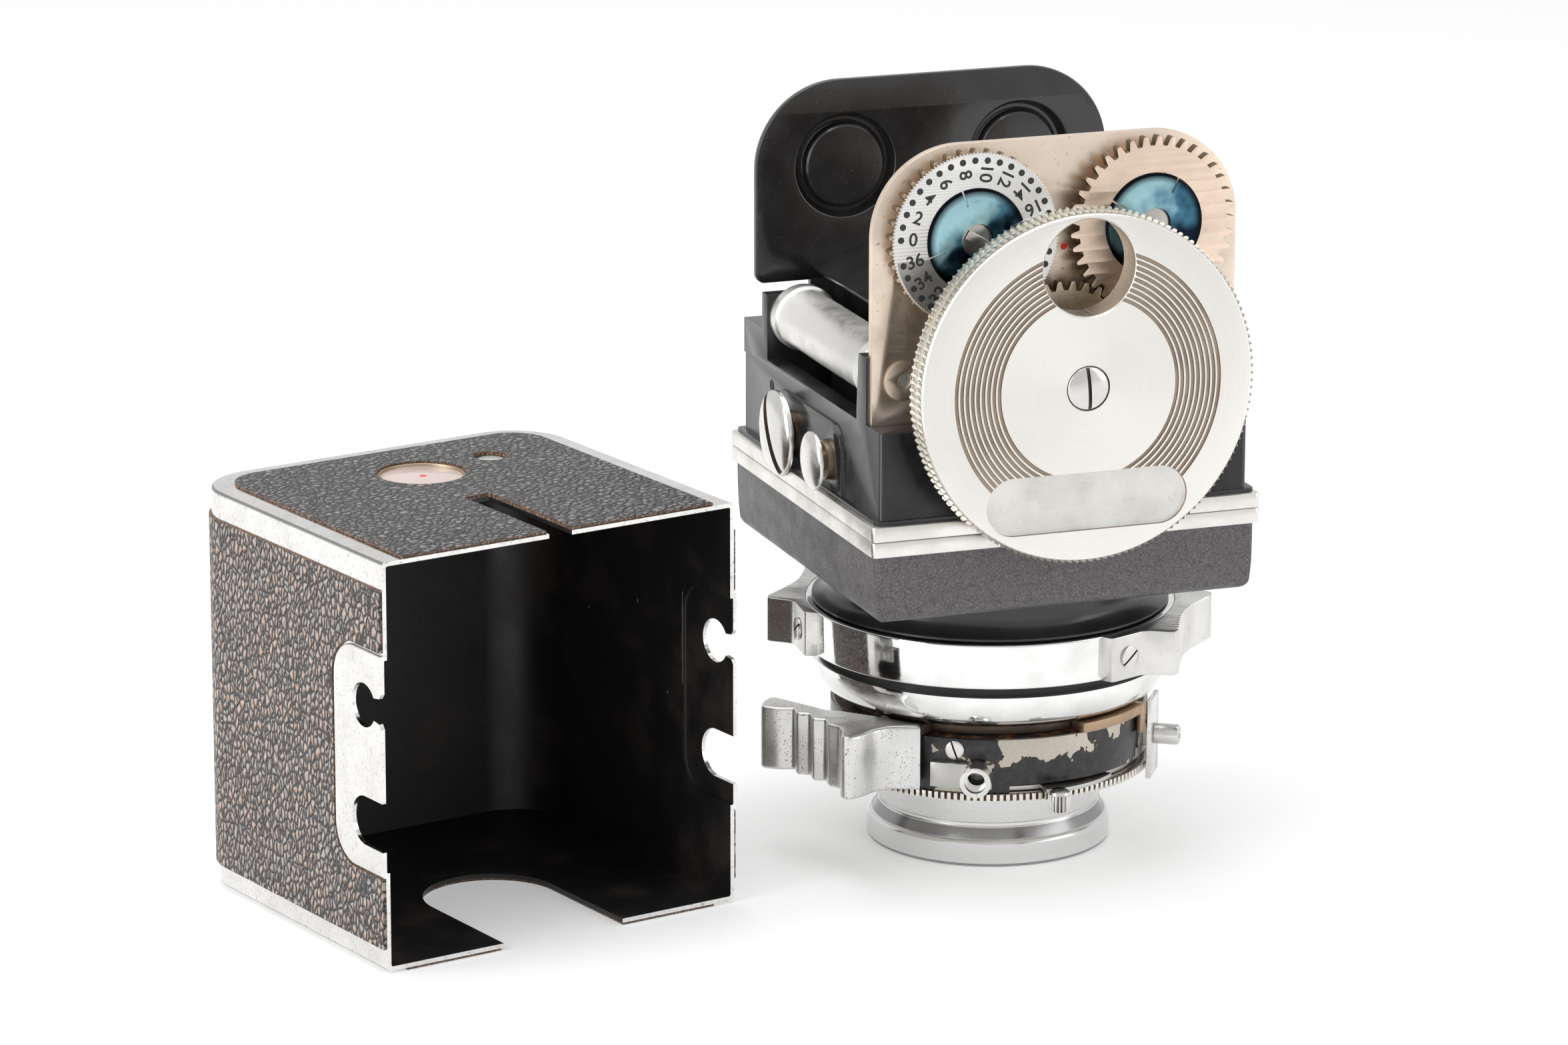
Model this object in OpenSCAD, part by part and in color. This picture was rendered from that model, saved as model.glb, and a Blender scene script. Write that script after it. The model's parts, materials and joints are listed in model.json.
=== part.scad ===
// Camera for 35 mm film with its leather-covered film shell taken off and stood beside it.
// Frame: +Z up, lens axis on Z, the lens rim rests on z = 0, the winding wheel faces -Y.

/* [Lens] */
// Radius of the front ring that the camera stands on
ring_r = 18.65; // [16:0.05:22]
// Height of the straight side of the front ring
ring_h = 3.8; // [2.5:0.1:6]
// Height of the bevel above the front ring
bevel_h = 2.05; // [1:0.05:3]
// Radius at the top of the bevel
bevel_r = 16.9; // [15:0.05:18]
// Height of the lens barrel between the bevel and the speed ring
barrel_h = 6.3; // [4:0.1:9]
// Radius of the barrel where it meets the shutter
barrel_r = 18; // [17.5:0.1:20]
// Radius of the front glass
glass_r = 15; // [10:0.1:15.4]

/* [Shutter] */
// How far the serrated speed ring stands out past the band
speed_lip = 0.5; // [0.2:0.05:1.5]
// Thickness of the speed ring
speed_t = 1.2; // [0.8:0.1:2]
// Outer radius of the painted cover band
band_r = 24.4; // [24.4:0.1:25]
// Wall of the cover band
band_t = 0.65; // [0.4:0.05:1]
// Height of the cover band
band_h = 8.3; // [7.4:0.1:10]
// Thickness of the aperture lever
lever_t = 0.8; // [0.5:0.1:1]
// Radius of the aperture lever's knob
knob_r = 1.7; // [1.2:0.1:2.4]
// Radius of the light opening through the shutter
stop_r = 9; // [6:0.1:9]
// Thickness of one shutter blade
blade_t = 0.2; // [0.1:0.05:0.25]
// Height of the grip handle
handle_h = 10; // [8:0.1:10]
// Wall radius of the cable release hole
cable_hole_r = 1.6; // [1.3:0.05:1.8]
// Outer radius of the cable release socket
cable_r = 2.35; // [2.2:0.05:2.8]
// Radius of the flash contact post
sync_r = 1.6; // [1.2:0.05:2]

/* [Lens lock] */
// Height of the gap where the handle's ring lies
handle_gap = 1.8; // [1.5:0.1:3]
// Height of the bowl-shaped chrome ring
bowl_h = 5.75; // [4.5:0.05:8]
// Radius at the foot of the bowl-shaped ring
bowl_foot_r = 22.7; // [22:0.1:24]
// Radius at the top of the bowl-shaped ring
bowl_top_r = 27.5; // [26.6:0.1:28]
// Radius of the drum that the lock ring turns on
drum_r = 26.6; // [25:0.1:26.8]
// Outer radius of the lock ring
lock_r = 28.3; // [27.6:0.1:30]
// Height of the lock ring
lock_h = 6.9; // [5:0.1:9]
// Dark gap below the lock ring
lock_gap = 1.5; // [0.5:0.1:3]
// Radius at the tips of the lock ring's grips
grip_tip_r = 34.1; // [32:0.1:36]
// Height of the dark dish between the lock ring and the grey box
dish_h = 6.05; // [4:0.05:9]

/* [Body] */
// Width of the chrome frame
frame_w = 62; // [61:0.1:76]
// Depth of the chrome frame
frame_d = 62.8; // [62:0.1:76]
// Height of each of the frame's two layers
frame_t = 2.35; // [1.5:0.05:4]
// Height of the grey box
box_h = 10.5; // [8:0.1:16]
// How far the grey box stands in from the frame
box_inset = 0.5; // [0.2:0.1:1.5]
// Width of the black film housing
house_w = 58.6; // [54:0.1:58.7]
// Depth of the black film housing
house_d = 59.8; // [56:0.1:60]
// Height of the film housing's side walls
house_h = 13.7; // [12:0.1:18]
// Wall of the film housing
house_wall = 3; // [2:0.1:4]
// Long side of the picture opening
gate_w = 36; // [24:0.1:36]
// Short side of the picture opening
gate_d = 24; // [18:0.1:24]
// Radius of a film roller
roller_r = 4.6; // [3:0.1:5]
// Radius of a film roller's collar
collar_r = 5.1; // [3.5:0.1:5.3]
// Distance of each roller from the middle
roller_x = 23.9; // [22:0.1:24]
// Radius of a roller's pin
pin_r = 1; // [0.6:0.05:1.4]

/* [Plates] */
// Front face of the nickel gear plate, measured forward of the lens axis
plate_y = 25; // [24:0.1:26]
// Thickness of the gear plate
plate_t = 1.4; // [1:0.1:2]
// Half width of both plates
plate_hw = 28.9; // [28:0.1:29]
// Height of both plates above the frame
plate_top = 55.3; // [54:0.1:56]
// Radius of the plates' upper corners
plate_corner = 13.5; // [6:0.1:16]
// Inner face of the black back plate
back_y = 25.6; // [24:0.1:26]
// Thickness of the black back plate
back_t = 1.2; // [0.8:0.1:1.6]
// Radius of the tripod bush
bush_r = 9.8; // [8:0.1:10]
// Wall radius of the tripod thread
tripod_r = 3.175; // [3:0.005:4.8]

/* [Gears and wheel] */
// Height of the wheel's axis above the frame
wheel_up = 20.3; // [19:0.1:22]
// Radius of the winding wheel
wheel_r = 26.6; // [22:0.1:28]
// Thickness of the winding wheel
wheel_t = 4.7; // [3:0.1:6]
// Front face of the winding wheel, measured forward of the lens axis
wheel_y = 38.5; // [37:0.1:40]
// Radius of the finger hole
finger_r = 7.3; // [5:0.1:8]
// Distance of the finger hole from the wheel's axis
finger_up = 18.1; // [16:0.1:18.5]
// Radius of the wheel's shaft
shaft_r = 1.8; // [1.2:0.05:1.8]
// Tooth size: pitch diameter divided by the number of teeth
gear_module = 0.68; // [0.6:0.01:0.7]
// Teeth of the drive gear
drive_teeth = 39; // [36:1:40]
// Teeth of the counter gear and of the take-up gear
spool_teeth = 37; // [34:1:38]
// Room between a spool gear's teeth and the middle
spool_room = 1.108; // [0.8:0.001:2]
// Thickness of the gears
gear_t = 1.7; // [1.2:0.1:2]
// Radius of the counter dial
dial_r = 13; // [10:0.1:13.2]
// Radius of the blued spring domes
dome_r = 7.7; // [5:0.1:9]
// Radius of the spool spindles
spindle_r = 2.5; // [1.5:0.1:3]

/* [Film shell] */
// Width of the shell's metal
shell_w = 60.2; // [60:0.1:61]
// Depth of the shell from its open edge to its closed end
shell_depth = 56.6; // [56.4:0.1:60]
// Height of the shell's metal as it stands, which lies along the camera's depth
shell_h = 61.5; // [61.4:0.1:62]
// Thickness of the shell's sheet metal
shell_t = 0.65; // [0.4:0.05:0.7]
// Thickness of the leather
leather_t = 0.45; // [0.3:0.05:0.8]
// Radius of the shell's closed corners
shell_corner = 9.5; // [6:0.1:12]
// Radius of the round index window
window_r = 6.5; // [4:0.1:7]
// Radius of the small gear window
peep_r = 2.3; // [1.5:0.1:3]
// Radius of the lock stud's keyhole
keyhole_r = 3.3; // [3.2:0.05:3.6]
// Radius of the clamp disc's notch
notch_r = 3.7; // [3.6:0.05:4]
// Corner of the shell where it stands, left to right
shell_x = -107.2; // [-130:0.1:-100]
// Corner of the shell where it stands, front to back
shell_y = -35; // [-45:0.1:-25]
// Turn of the shell on the table
shell_turn = 14; // [0:1:20]

/* [Side fasteners] */
// Radius of the slotted clamp discs
disc_r = 6.6; // [5:0.1:7]
// Radius of the lock studs' heads
stud_r = 4.45; // [3.6:0.05:5]
// Place of the clamp discs behind the lens axis
disc_y = 8.95; // [8:0.05:10]
// Place of the lock studs in front of the lens axis
stud_y = 8.5; // [8:0.05:9]
// Height of both above the frame
side_up = 4.85; // [4.8:0.05:5.2]

/* [Hidden] */
$fn = 96;

// Clearances: for a shaft in its hole, for pieces that move past each other, for a cut's overshoot
run_gap = 0.05;
move_gap = 0.15;
cut = 1;

// Heights of the stack, from the floor up
z_bevel = ring_h;
z_barrel = z_bevel + bevel_h;
z_speed = z_barrel + barrel_h + move_gap;
z_lever = z_speed + speed_t + 0.1;
z_band = z_lever;
z_house0 = z_lever + lever_t + 0.1;
z_band_top = z_band + band_h;
z_ring0 = z_band_top + move_gap;
z_bowl = z_band_top + handle_gap;
z_drum = z_bowl + bowl_h;
z_lock = z_drum + lock_gap;
z_lock_top = z_lock + lock_h;
z_dish = z_lock_top + move_gap;
z_box = z_lock_top + dish_h;
z_lower = z_box + box_h;
z_upper = z_lower + frame_t;
z_body = z_upper + frame_t;
z_sill = z_body + house_h;
z_wheel = z_body + wheel_up;
z_side = z_body + side_up;
z_plate_top = z_body + plate_top;

// Gears
drive_pitch = gear_module * drive_teeth / 2;
spool_pitch = gear_module * spool_teeth / 2;
mesh_dist = drive_pitch + spool_pitch;
spool_x = spool_pitch + 0.9 * gear_module + spool_room;
spool_up = sqrt(mesh_dist * mesh_dist - spool_x * spool_x);
z_spool = z_wheel + spool_up;
mesh_angle = atan2(spool_up, spool_x);
gear_face = plate_y + 3.2;
dial_t = 0.6;
dial_face = gear_face + 1.2;
dome_h = 0.65;

// Shutter
speed_r = band_r + speed_lip;
cavity_r = 22.2;
hub_r = 17;
carrier_r = 21.8;
blade_pivot = 16;
blade_reach = 11;
blade_lobe = 6.4;
blade_step = 0.4;
z_cavity = z_house0 + 1.6;
cavity_h = 5 * blade_step + 0.4;
band_bore = band_r - band_t;

// Angles round the lens axis
lever_angle = -88;
lever_tail = 26;
slot_from = -104;
slot_to = -18;
cable_angle = -115.5;
sync_angle = -33;
grip_angle = -37;
blade_count = 5;

// Light path through the body
path_r = 20;
well = 50;

// Film housing
cheek_top = 10.2;
cheek_front = plate_y - plate_t;
cheek_t = 2.3;
cheek_back = 19.4;
cheek_in = 10.5;
shoulder_h = 4.4;
gate_rise = 2.2;
roller_up = 6.6;
cheek_front_t = 3.9;
cheek_top_t = 3.2;
z_roller = z_sill + roller_up;
z_gate = z_sill + gate_rise;
pad_t = 0.5;
roof_half = 19.4;
roof_eave = 11.9;
roof_slope = 20;

// Side fasteners
disc_seat = frame_w / 2 + 0.1;
neck_disc_r = 3.4;
neck_stud_r = 3;
waist_r = 1.5;
disc_pin_r = neck_disc_r - 1;

// Shell
tab_depth = 13.5;
tab_from = 14.7;
tab_to = 48;
tab_round = 5.5;
slot_w = 3.9;
slot_depth = 23;
keyhole_mouth = 3.4;
u_r = 10.3;
rim_top = 4.2;
rim_low = 3.2;
edge_in = 3.5;

function polar(r, a) = [r * cos(a), r * sin(a)];
function arc(r, a0, a1, n, c = [0, 0]) = [for (i = [0:n]) c + polar(r, a0 + (a1 - a0) * i / n)];

// Lies in the plane that faces forward and grows towards the viewer from y = -face
module facing(face, t) translate([0, t - face, 0]) rotate([90, 0, 0]) linear_extrude(t) children();

module tube(r, bore, z, h) translate([0, 0, z]) difference() {
    cylinder(r = r, h = h);
    translate([0, 0, -cut]) cylinder(r = bore, h = h + 2 * cut);
}

module rounded(w, d, r) union() {
    square([w - 2 * r, d], center = true);
    square([w, d - 2 * r], center = true);
    for (x = [-1, 1], y = [-1, 1]) translate([x * (w / 2 - r), y * (d / 2 - r)]) circle(r);
}

// A wedge of the plane between two angles
module sector(r, a0, a1) polygon(concat([[0, 0]], arc(r, a0, a1, 8)));

module mirrored() { children(); mirror([1, 0, 0]) children(); }

// Lens

module front_ring() color("silver") rotate_extrude() polygon([
    [glass_r + 0.6, 0], [ring_r - 0.4, 0], [ring_r, 0.4], [ring_r, ring_h],
    [bevel_r, z_barrel], [glass_r + run_gap, z_barrel], [glass_r + run_gap, thread_h],
    [glass_r + 0.6, thread_h]
]);
thread_h = 2.9;

module lens_barrel() color("gainsboro") rotate_extrude() polygon([
    [glass_r - 1, z_barrel], [bevel_r - 0.2, z_barrel], [bevel_r - 0.2, z_barrel + 0.5],
    [bevel_r + 0.3, z_barrel + 0.7], [barrel_r, z_barrel + barrel_h], [barrel_r, z_house0],
    [glass_r - 1, z_house0]
]);

// A lens that bulges to one side by a given sag and is flat on the other
module bulged(r, sag, edge) rotate_extrude() polygon(concat(
    [[0, 0], [r, 0], [r, edge]],
    [for (i = [1:8]) [r * (8 - i) / 8, edge + sag * (1 - pow((8 - i) / 8, 2))]]
));
module front_glass() color("lightblue", 0.4)
    translate([0, 0, z_barrel]) mirror([0, 0, 1]) bulged(glass_r, 1.7, 1);
module rear_glass() color("lightblue", 0.4) translate([0, 0, z_bowl + 1]) bulged(rear_r, 1.8, 1.6);
rear_r = 12;

// Shutter

module speed_ring() color("lightgrey") tube(speed_r, barrel_r + run_gap, z_speed, speed_t);

// A thin ring in the shutter with an arm and a small knob outside
module aperture_lever() color("silver") union() {
    tube(band_bore - 0.3, barrel_r + run_gap, z_lever + 0.05, lever_t - 0.1);
    translate([0, 0, z_lever + 0.05]) linear_extrude(lever_t - 0.1) intersection() {
        difference() {
            circle(band_r + 2);
            circle(band_bore - 0.6);
        }
        sector(40, lever_angle - 4, lever_angle + lever_tail);
    }
    knob = polar(speed_r + knob_r + 0.2, lever_angle);
    translate([knob[0], knob[1], z_lever - 2.6]) cylinder(r = knob_r, h = lever_t + 2.6 - 0.05);
}

// Drum with a flat cavity for the blades and a pin for each blade
module shutter_housing() color("dimgray") difference() {
    union() {
        tube(band_bore - run_gap, stop_r, z_house0, z_band_top - z_house0);
        tube(hub_r - run_gap, stop_r, z_band_top - cut, z_bowl - z_band_top + cut);
    }
    difference() {
        translate([0, 0, z_cavity]) cylinder(r = cavity_r, h = cavity_h);
        for (i = [0:blade_count - 1]) rotate(i * 360 / blade_count)
            translate([blade_pivot, 0, 0]) cylinder(r = 0.6, h = z_band_top);
    }
    rotate(cable_angle) translate([cavity_r - 3, 0, z_cable]) rotate([0, 90, 0])
        cylinder(r = plunger_r + run_gap, h = band_r - cavity_r + 3);
}
plunger_r = 1.1;
plunger_len = 1.6;
plunger_sunk = 0.2;
z_cable = z_cavity + cavity_h / 2 - 0.8;

// One leaf: an eye on its pin and a round lobe that covers a fifth of the opening
module shutter_blade(i) color("dimgray") rotate(i * 360 / blade_count)
    translate([0, 0, z_cavity + 0.25 + i * blade_step]) linear_extrude(blade_t) difference() {
        union() {
            translate([blade_pivot - blade_reach, 0]) circle(blade_lobe);
            translate([blade_pivot, 0]) circle(1.6);
            translate([blade_pivot - blade_reach / 2, 0]) square([blade_reach, 3], center = true);
        }
        translate([blade_pivot, 0]) circle(0.6 + run_gap);
    }

// Painted band with the lever's slot along its lower edge
module cover_band() color([0.13, 0.13, 0.14]) difference() {
    tube(band_r, band_bore, z_band, band_h);
    translate([0, 0, z_band - cut]) linear_extrude(cut + lever_t + 0.4) sector(40, slot_from, slot_to);
    rotate(cable_angle) translate([band_bore - 2, 0, z_cable]) rotate([0, 90, 0])
        cylinder(r = plunger_r + run_gap, h = 5);
}

module slotted_screw(r, h) difference() {
    intersection() {
        cylinder(r = r, h = h);
        translate([0, 0, h - 3 * r]) sphere(r = 3 * r);
    }
    translate([-r - cut, -r / 8, 0.4 * h]) cube([2 * (r + cut), r / 4, h]);
}

module cover_screws() color("silver") for (a = [-123.6, 70])
    rotate(a) translate([band_r, 0, z_band + 6.6]) rotate([0, 90, 0]) rotate(60)
        slotted_screw(1.45, 0.5);

// Threaded socket on a curved plate
module release_socket() color("silver") difference() {
    union() {
        translate([0, 0, z_cable - 1.9]) linear_extrude(3.8) intersection() {
            difference() {
                circle(band_r + socket_plate);
                circle(band_r);
            }
            sector(40, cable_angle - 16, cable_angle + 5);
        }
        rotate(cable_angle) translate([band_r + 0.4, 0, z_cable]) rotate([0, 90, 0])
            cylinder(r = cable_r, h = socket_plate - 0.4 + socket_len);
    }
    rotate(cable_angle) translate([band_r - 2, 0, z_cable]) rotate([0, 90, 0])
        cylinder(r = cable_hole_r, h = 8);
}
socket_plate = 1.4;
socket_len = 3.2;

// Pin that the cable pushes in, its end just below the band's outer face
module release_plunger() color("dimgray") rotate(cable_angle)
    translate([band_r - plunger_sunk - plunger_len, 0, z_cable]) rotate([0, 90, 0])
        cylinder(r = plunger_r, h = plunger_len);

// Lever in the gap above the band, with a tongue bent down beside the flash contact
module release_lever() color("silver") union() {
    translate([0, 0, z_ring0]) linear_extrude(lever_gap_t) intersection() {
        difference() {
            circle(band_r + 0.9);
            circle(carrier_r + 0.2);
        }
        sector(40, tongue_angle - 33, tongue_angle + 2);
    }
    translate([0, 0, z_ring0 - 3]) linear_extrude(3 + lever_gap_t) intersection() {
        difference() {
            circle(band_r + 1.1);
            circle(band_r + 0.3);
        }
        sector(40, tongue_angle - 2, tongue_angle + 2);
    }
}
lever_gap_t = handle_gap - 2 * move_gap;
tongue_angle = -44;

// Standing plate on a block that holds it clear of the speed ring
module sync_plate() color("silver") rotate(sync_angle) union() {
    translate([speed_r + 0.25, -sync_hw, z_speed - 1.2]) cube([sync_t, 2 * sync_hw, 12.4]);
    translate([0, 0, z_band + 2.4]) linear_extrude(4) intersection() {
        difference() {
            circle(speed_r + 0.5);
            circle(band_r);
        }
        translate([0, -2]) square([40, 4]);
    }
}
sync_hw = 3.2;
sync_t = 0.8;

module sync_post() color("silver") rotate(sync_angle) translate([speed_r + 0.25 + sync_t, 0, z_band + 3.9])
    rotate([0, 90, 0]) difference() {
        cylinder(r = sync_r, h = 3.8);
        translate([0, 0, 1]) cylinder(r = sync_r - 0.5, h = 4);
    }

// Cast grip with two horns and a ribbed thumb rest, on a thin ring above the shutter
module grip_handle() color("darkgrey") union() {
    tube(carrier_r, hub_r + run_gap, z_ring0, lever_gap_t);
    translate([0, 0, z_ring0]) linear_extrude(lever_gap_t) intersection() {
        difference() {
            circle(handle_bore + 1);
            circle(carrier_r - 0.5);
        }
        sector(40, -158, -134);
    }
    translate([0, 0, z_ring0 + 2.1 - handle_h]) difference() {
        linear_extrude(handle_h) difference() {
            polygon(handle_outline);
            circle(handle_bore);
        }
        for (i = [0:2]) translate(handle_rib(i)) cylinder(r = rib_r, h = 3 * handle_h, center = true);
    }
}
handle_bore = band_r + 0.8;
handle_outline = [
    [-22, -8], [-28.7, -6.6], [-33.9, 2.7], [-36.4, 1.8], [-37.6, -0.8], [-35.4, -3], [-32.5, -3.4],
    [-29.3, -14.2], [-31.8, -18.6], [-31.2, -21.2], [-28.5, -20.5], [-23.8, -18.4], [-19.6, -19.4],
    [-18.6, -20.2], [-16.5, -17]
];
rib_r = 1.6;
function handle_rib(i) = [-33, -5.4] + (i + 0.25) * [1, -3.55];

// Lens lock

// Profile of the bowl-shaped ring, round from its foot to its top
function bowl_side(n) = [for (i = [0:n]) [
    bowl_foot_r + (bowl_top_r - bowl_foot_r) * sin(90 * i / n),
    z_bowl + bowl_h * (1 - cos(90 * i / n))
]];

module bowl_ring() color("gainsboro") rotate_extrude() polygon(concat(
    [[rear_r - 1, z_bowl]], bowl_side(8),
    [[path_r, z_drum], [path_r, z_bowl + 4.6], [rear_r + 0.05, z_bowl + 4.6], [rear_r + 0.05, z_bowl + 1],
    [rear_r - 1, z_bowl + 1]]
));

module mount_drum() color([0.1, 0.1, 0.1]) tube(drum_r, path_r, z_drum, z_dish - z_drum);

module lock_ring() color("gainsboro") tube(lock_r, drum_r + run_gap, z_lock, lock_h);

// One grip: two pads with a screw each, two horns and a hollow thumb rest between them
module lock_grip() translate([0, 0, z_lock]) linear_extrude(lock_h) difference() {
    polygon(concat(
        [for (k = grip_side) polar(k[0], -k[1])],
        [for (i = [len(grip_side) - 1:-1:0]) polar(grip_side[i][0], grip_side[i][1])],
        arc(lock_r - 3, 38, -38, 12)
    ));
    circle(lock_r);
}
pad_r = lock_r + 1.9;
rest_r = lock_r + 3.6;
// Radius and angle of each corner from the end of the pad to the middle of the thumb rest
grip_side = [
    [lock_r, 38], [pad_r, 37], [pad_r, 24], [grip_tip_r, 20], [grip_tip_r, 17],
    [rest_r, 14], [rest_r - 0.9, 7], [rest_r - 1.2, 0.1]
];

module lock_grip_right() color("silver") rotate(grip_angle) lock_grip();
module lock_grip_left() color("silver") rotate(grip_angle + 180) lock_grip();

module grip_screws() color("silver") for (side = [0, 180], a = [-30.5, 30.5])
    rotate(grip_angle + side + a) translate([pad_r - 0.05, 0, z_lock + lock_h / 2]) rotate([0, 90, 0])
        rotate(35) slotted_screw(1.7, 0.5);

module neck_dish() color([0.1, 0.1, 0.1]) rotate_extrude() polygon([
    [path_r, z_dish], [bowl_top_r - 0.1, z_dish], [bowl_top_r - 0.1, z_dish + 0.5],
    [bowl_top_r - 2.4, z_dish + 2.4], [bowl_top_r - 1.6, z_box], [path_r, z_box]
]);

// Body

// Grey box: drafted sides, round lower edges
module lens_box() color("dimgray") difference() {
    intersection() {
        translate([0, 0, z_box]) linear_extrude(box_h) rounded(box_w, box_d, 1.5);
        translate([0, frame_d / 2, 0]) rotate([90, 0, 0]) linear_extrude(frame_d) box_side(box_w);
        translate([-frame_w / 2, 0, 0]) rotate([90, 0, 90]) linear_extrude(frame_w) box_side(box_d);
    }
    translate([0, 0, z_box - cut]) cylinder(r = path_r, h = box_h);
    translate([-well / 2, -well / 2, z_box + 2]) cube([well, well, box_h]);
}
box_w = frame_w - 2 * box_inset;
box_d = frame_d - 2 * box_inset;
box_draft = 0.6;
box_round = 1.8;
module box_side(w) {
    low = w / 2 - box_draft - box_round;
    polygon(concat(
        arc(box_round, 180, 270, 5, [-low, z_box + box_round]),
        arc(box_round, 270, 360, 5, [low, z_box + box_round]),
        [[w / 2, z_lower], [-w / 2, z_lower]]
    ));
}

module frame_layer(z) translate([0, 0, z]) linear_extrude(frame_t) difference() {
    rounded(frame_w, frame_d, 0.8);
    square(well, center = true);
}
module frame_lower() color("gainsboro") frame_layer(z_lower);
module frame_upper() color("gainsboro") frame_layer(z_upper);

// Black housing: foot, walls, cheeks for the rollers and the picture opening
module film_housing() color([0.15, 0.15, 0.16]) difference() {
    union() {
        translate([0, 0, z_body]) linear_extrude(0.6) rounded(frame_w - 1.4, frame_d - 1.6, 0.8);
        translate([0, 0, z_body]) linear_extrude(house_h) difference() {
            rounded(house_w, house_d, 0.8);
            square([house_w - 2 * house_wall, house_d - 2 * house_wall], center = true);
        }
        translate([0, 0, z_body]) linear_extrude(2) square([house_w - 1, house_d - 1], center = true);
        translate([-gate_w / 2 - 1.5, -gate_d / 2 - 5.5, z_body + 1])
            cube([gate_w + 3, gate_d + 11, z_gate - z_body - 1]);
        mirrored() cheeks();
        mirrored() side_pad();
        translate([-house_w / 2, cheek_back + cheek_t, z_sill - 1])
            cube([house_w, house_d / 2 - cheek_back - cheek_t, shoulder_h + 1]);
        translate([-house_w / 2 + 1, -house_d / 2 + 1, z_body + 1])
            cube([house_w - 2, house_d / 2 - 1 - gate_d / 2 - 5.4, house_h - 1]);
    }
    translate([-gate_w / 2, -gate_d / 2, z_body - cut]) cube([gate_w, gate_d, 30]);
    stem_slot();
    gear_recess();
    translate([0, back_y + back_t - 0.02, z_wheel]) rotate([-90, 0, 0])
        cylinder(r = bush_r + run_gap, h = house_d);
    mirrored() translate([roller_x, 40, z_roller]) rotate([90, 0, 0]) cylinder(r = pin_r + run_gap, h = 80);
    mirrored() translate([0, disc_y, z_side]) side_hole(disc_pin_r + run_gap);
    mirrored() translate([0, -stud_y, z_side]) side_hole(neck_stud_r + run_gap);
}
// Room for the drive gear in the front wall, hidden behind the wheel
module gear_recess() translate([0, -gear_face + gear_t + recess_gap, z_wheel]) rotate([90, 0, 0])
    cylinder(r = gear_module * (drive_teeth / 2 + 0.9) + recess_gap, h = house_d);
recess_gap = 0.4;

module side_hole(r) translate([-house_w / 2 - 2, 0, 0]) rotate([0, 90, 0])
    cylinder(r = r, h = house_wall + 2.5);

// Posts at the corners that hold the roller's pin, the front one thinner at its top
module cheeks() {
    translate([-house_w / 2, cheek_back, z_body + 1]) cube([cheek_in, cheek_t, house_h + cheek_top - 1]);
    translate([-house_w / 2, 0, 0]) rotate([90, 0, 90]) linear_extrude(cheek_in) polygon([
        [-cheek_front, z_body + 1],
        [-cheek_front, z_sill + cheek_top],
        [-cheek_front + cheek_top_t, z_sill + cheek_top],
        [-cheek_front + cheek_front_t, z_sill + 1],
        [-cheek_front + cheek_front_t, z_body + 1]
    ]);
}

// Raised pad round the fasteners on one side
module side_pad() translate([-house_w / 2 - pad_t, 0, 0]) rotate([90, 0, 90])
    linear_extrude(pad_t + 0.1) intersection() {
        translate([0, z_body + 0.2]) rounded(29, 21.8, 4);
        translate([-20, z_body]) square([40, 20]);
    }

module stem_slot() translate([-stem_hw - 0.1, back_y - 0.02, z_body + 2])
    cube([2 * stem_hw + 0.2, back_t + 0.04, 60]);
stem_hw = 20;

// Two slopes that rise to a ridge between the film cassettes, with thin eaves past the block below
module film_roof() color([0.12, 0.12, 0.12]) translate([0, back_y, 0]) rotate([90, 0, 0])
    linear_extrude(back_y + cheek_front) polygon([
        [-roof_half, z_eave], [-roof_half, z_eave + 0.6], [0, z_eave + 0.6 + roof_half * tan(roof_slope)],
        [roof_half, z_eave + 0.6], [roof_half, z_eave], [roof_block, z_eave + eave_rise],
        [roof_block, z_sill + shoulder_h], [-roof_block, z_sill + shoulder_h], [-roof_block, z_eave + eave_rise]
    ]);
z_eave = z_sill + roof_eave;
roof_block = 16;
eave_rise = (roof_half - roof_block) * tan(roof_slope);

module pressure_plate() color("dimgray") translate([-gate_w / 2 - 1, -gate_d / 2 - 5, z_gate + 0.3])
    cube([gate_w + 2, gate_d + 10, 1]);

// Roller with a collar at each end and its pins
module roller() translate([0, cheek_back - 0.3, 0]) rotate([90, 0, 0]) union() {
    long = cheek_back - 0.3 + cheek_front - cheek_front_t - 0.3;
    cylinder(r = roller_r, h = long);
    for (z = [0, long - 2.6]) translate([0, 0, z]) cylinder(r = collar_r, h = 2.6);
    translate([0, 0, -1.8]) cylinder(r = pin_r, h = long + 1.8 + cheek_front_t + 0.3 + plate_t);
}
module roller_left() color("silver") translate([-roller_x, 0, z_roller]) roller();
module roller_right() color("silver") translate([roller_x, 0, z_roller]) roller();

// Plates

module plate_outline(low) union() {
    translate([-plate_hw, low]) square([2 * plate_hw, z_plate_top - plate_corner - low]);
    translate([-plate_hw + plate_corner, low]) square([2 * (plate_hw - plate_corner), z_plate_top - low]);
    for (x = [-1, 1]) translate([x * (plate_hw - plate_corner), z_plate_top - plate_corner])
        circle(plate_corner);
}

module gear_plate() color("tan") facing(plate_y, plate_t) difference() {
    plate_outline(z_sill);
    for (x = [-1, 1]) translate([x * spool_x, z_spool]) circle(spindle_r + run_gap);
    for (x = [-1, 1]) translate([x * roller_x, z_roller]) circle(bush_out);
    translate([0, z_wheel]) circle(shaft_r + run_gap);
}
bush_out = 3;

module plate_bushes() color("tan") for (x = [-1, 1]) translate([x * roller_x, 0, z_roller])
    facing(plate_y + 0.25, plate_t + 0.25) difference() {
        circle(bush_out);
        circle(pin_r + run_gap);
    }

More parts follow.
